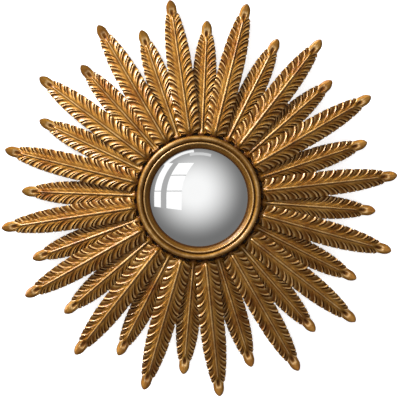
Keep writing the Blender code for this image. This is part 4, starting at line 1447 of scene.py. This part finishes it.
class SUNBURST_OT_studio(bpy.types.Operator):
    """Set up the wall, the floor, the light and the camera"""

    bl_idname = "sunburst.studio"
    bl_label = "Set Up Studio"

    def execute(self, context):
        studio = context.scene.mirror_studio
        context.scene.view_settings.view_transform = "Standard"
        add_wall_and_floor()
        add_light("key_light", KEY_LIGHT_PLACE, KEY_LIGHT_SIZE, studio.key_power)
        add_light("back_light", BACK_LIGHT_PLACE, BACK_LIGHT_SIZE, BACK_LIGHT_POWER)
        add_windows(studio)
        light_the_room(studio)
        add_camera(studio)
        return {"FINISHED"}


class SUNBURST_OT_long_leaves(bpy.types.Operator):
    """Carve the front layer of leaves"""

    bl_idname = "sunburst.long_leaves"
    bl_label = "Carve Long Leaves"

    def execute(self, context):
        carve_leaves(context.scene, LONG_LEAVES, context.scene.mirror_long_leaves)
        return {"FINISHED"}


class SUNBURST_OT_short_leaves(bpy.types.Operator):
    """Carve the back layer of leaves"""

    bl_idname = "sunburst.short_leaves"
    bl_label = "Carve Short Leaves"

    def execute(self, context):
        carve_leaves(context.scene, SHORT_LEAVES, context.scene.mirror_short_leaves)
        return {"FINISHED"}


class SUNBURST_OT_bezel(bpy.types.Operator):
    """Turn the bezel round the glass"""

    bl_idname = "sunburst.bezel"
    bl_label = "Turn Bezel"

    def execute(self, context):
        turning = context.scene.mirror_turning
        mesh = turned_mesh("turned_bezel", bezel_profile(turning), True)
        material = bezel_material(context.scene.mirror_finish, turning)
        finished("turned_bezel", mesh, material, "bezel_gilt", "bezel_ring")
        return {"FINISHED"}


class SUNBURST_OT_glass(bpy.types.Operator):
    """Make the convex glass"""

    bl_idname = "sunburst.glass"
    bl_label = "Make Convex Glass"

    def execute(self, context):
        mesh = turned_mesh("convex_glass", glass_profile(), False)
        material = silver_material(context.scene.mirror_finish)
        finished("convex_glass", mesh, material, "mirror_glass", "mirror_glass")
        return {"FINISHED"}


class SUNBURST_OT_board(bpy.types.Operator):
    """Turn the back board and cut it for the hanging plate"""

    bl_idname = "sunburst.board"
    bl_label = "Make Back Board"

    def execute(self, context):
        board = linked("turned_board", turned_mesh("turned_board", board_profile(), False))
        floor_depth = -PLATE_LOW.y + FIT_GAP
        room, margin = 2 * PLATE_CLEARANCE, 2 * POCKET_MARGIN
        recess = rounded_outline(PLATE_WIDTH + room, PLATE_HEIGHT + room, PLATE_CORNER + PLATE_CLEARANCE)
        pocket = rounded_outline(2 * KEYHOLE_ENTRY_RADIUS + margin, KEYHOLE_HEIGHT + margin, PLATE_CORNER)
        cutters = []
        for name, outline, depth in (
            ("recess_cutter", recess, floor_depth), ("pocket_cutter", pocket, floor_depth + POCKET_DEPTH),
        ):
            cutter = linked(name, upright_plate(name, [outline], -CUTTER_OVERRUN, depth))
            cut = board.modifiers.new(name, "BOOLEAN")
            cut.operation = "DIFFERENCE"
            cut.solver = "EXACT"
            cut.object = cutter
            cutters.append(cutter)
        mesh = tidied(evaluated_mesh(board), TURNED_SHARP_ANGLE)
        for cutter in cutters:
            bpy.data.objects.remove(cutter)
        finished("turned_board", mesh, board_material(context.scene.mirror_finish), "board", "back_board")
        return {"FINISHED"}


class SUNBURST_OT_plate(bpy.types.Operator):
    """Make the keyhole plate and its two screws"""

    bl_idname = "sunburst.plate"
    bl_label = "Make Hanging Plate"

    def execute(self, context):
        steel = steel_material(context.scene.mirror_finish)
        outlines = [rounded_outline(PLATE_WIDTH, PLATE_HEIGHT, PLATE_CORNER), keyhole_outline()]
        mesh = upright_plate("keyhole_plate", outlines, -PLATE_HIGH.y, -PLATE_LOW.y, PLATE_EASE)
        finished("keyhole_plate", mesh, steel, "hanging_plate", "hanging_plate")
        place = Vector((0.0, PLATE_HIGH.y + SCREW_SINK - SCREW["head_height"], PLATE_MIDDLE))
        screws = grown("plate_screws", screw_tree(), {"Place": place, "Material": steel})
        finished("plate_screws", tidied(screws, TURNED_SHARP_ANGLE), None, "hanging_plate")
        return {"FINISHED"}


class SUNBURST_PT_panel(bpy.types.Panel):
    """Buttons and settings of the mirror"""

    bl_idname = "SUNBURST_PT_panel"
    bl_label = "Sunburst Mirror"
    bl_space_type = "VIEW_3D"
    bl_region_type = "UI"
    bl_category = "Mirror"

    def draw(self, context):
        layout = self.layout
        for operator in OPERATORS:
            layout.operator(operator.bl_idname)
        for name in SETTINGS:
            box = layout.box()
            box.label(text=title(name))
            settings = getattr(context.scene, name)
            for key in settings.__annotations__:
                box.prop(settings, key)


OPERATORS = (
    SUNBURST_OT_studio, SUNBURST_OT_long_leaves, SUNBURST_OT_short_leaves, SUNBURST_OT_bezel,
    SUNBURST_OT_glass, SUNBURST_OT_board, SUNBURST_OT_plate,
)
SETTINGS = {
    "mirror_long_leaves": LeafLayer, "mirror_short_leaves": LeafLayer, "mirror_carving": Carving,
    "mirror_turning": Turning, "mirror_finish": Finish, "mirror_studio": Studio,
}
CLASSES = (LeafLayer, Carving, Turning, Finish, Studio, *OPERATORS, SUNBURST_PT_panel)


def register():
    """Add the operators, the panel and the settings to Blender."""
    for made in CLASSES:
        bpy.utils.register_class(made)
    for name, group in SETTINGS.items():
        setattr(bpy.types.Scene, name, PointerProperty(type=group))
    for name, value in SHORT_LAYER.items():
        setattr(bpy.context.scene.mirror_short_leaves, name, value)


def unregister():
    """Take them out of Blender again."""
    for name in SETTINGS:
        delattr(bpy.types.Scene, name)
    for made in reversed(CLASSES):
        bpy.utils.unregister_class(made)


def main():
    """Make every piece and the stage."""
    register()
    bpy.ops.sunburst.studio()
    bpy.ops.sunburst.long_leaves()
    bpy.ops.sunburst.short_leaves()
    bpy.ops.sunburst.bezel()
    bpy.ops.sunburst.glass()
    bpy.ops.sunburst.board()
    bpy.ops.sunburst.plate()


if __name__ == "__main__":
    main()
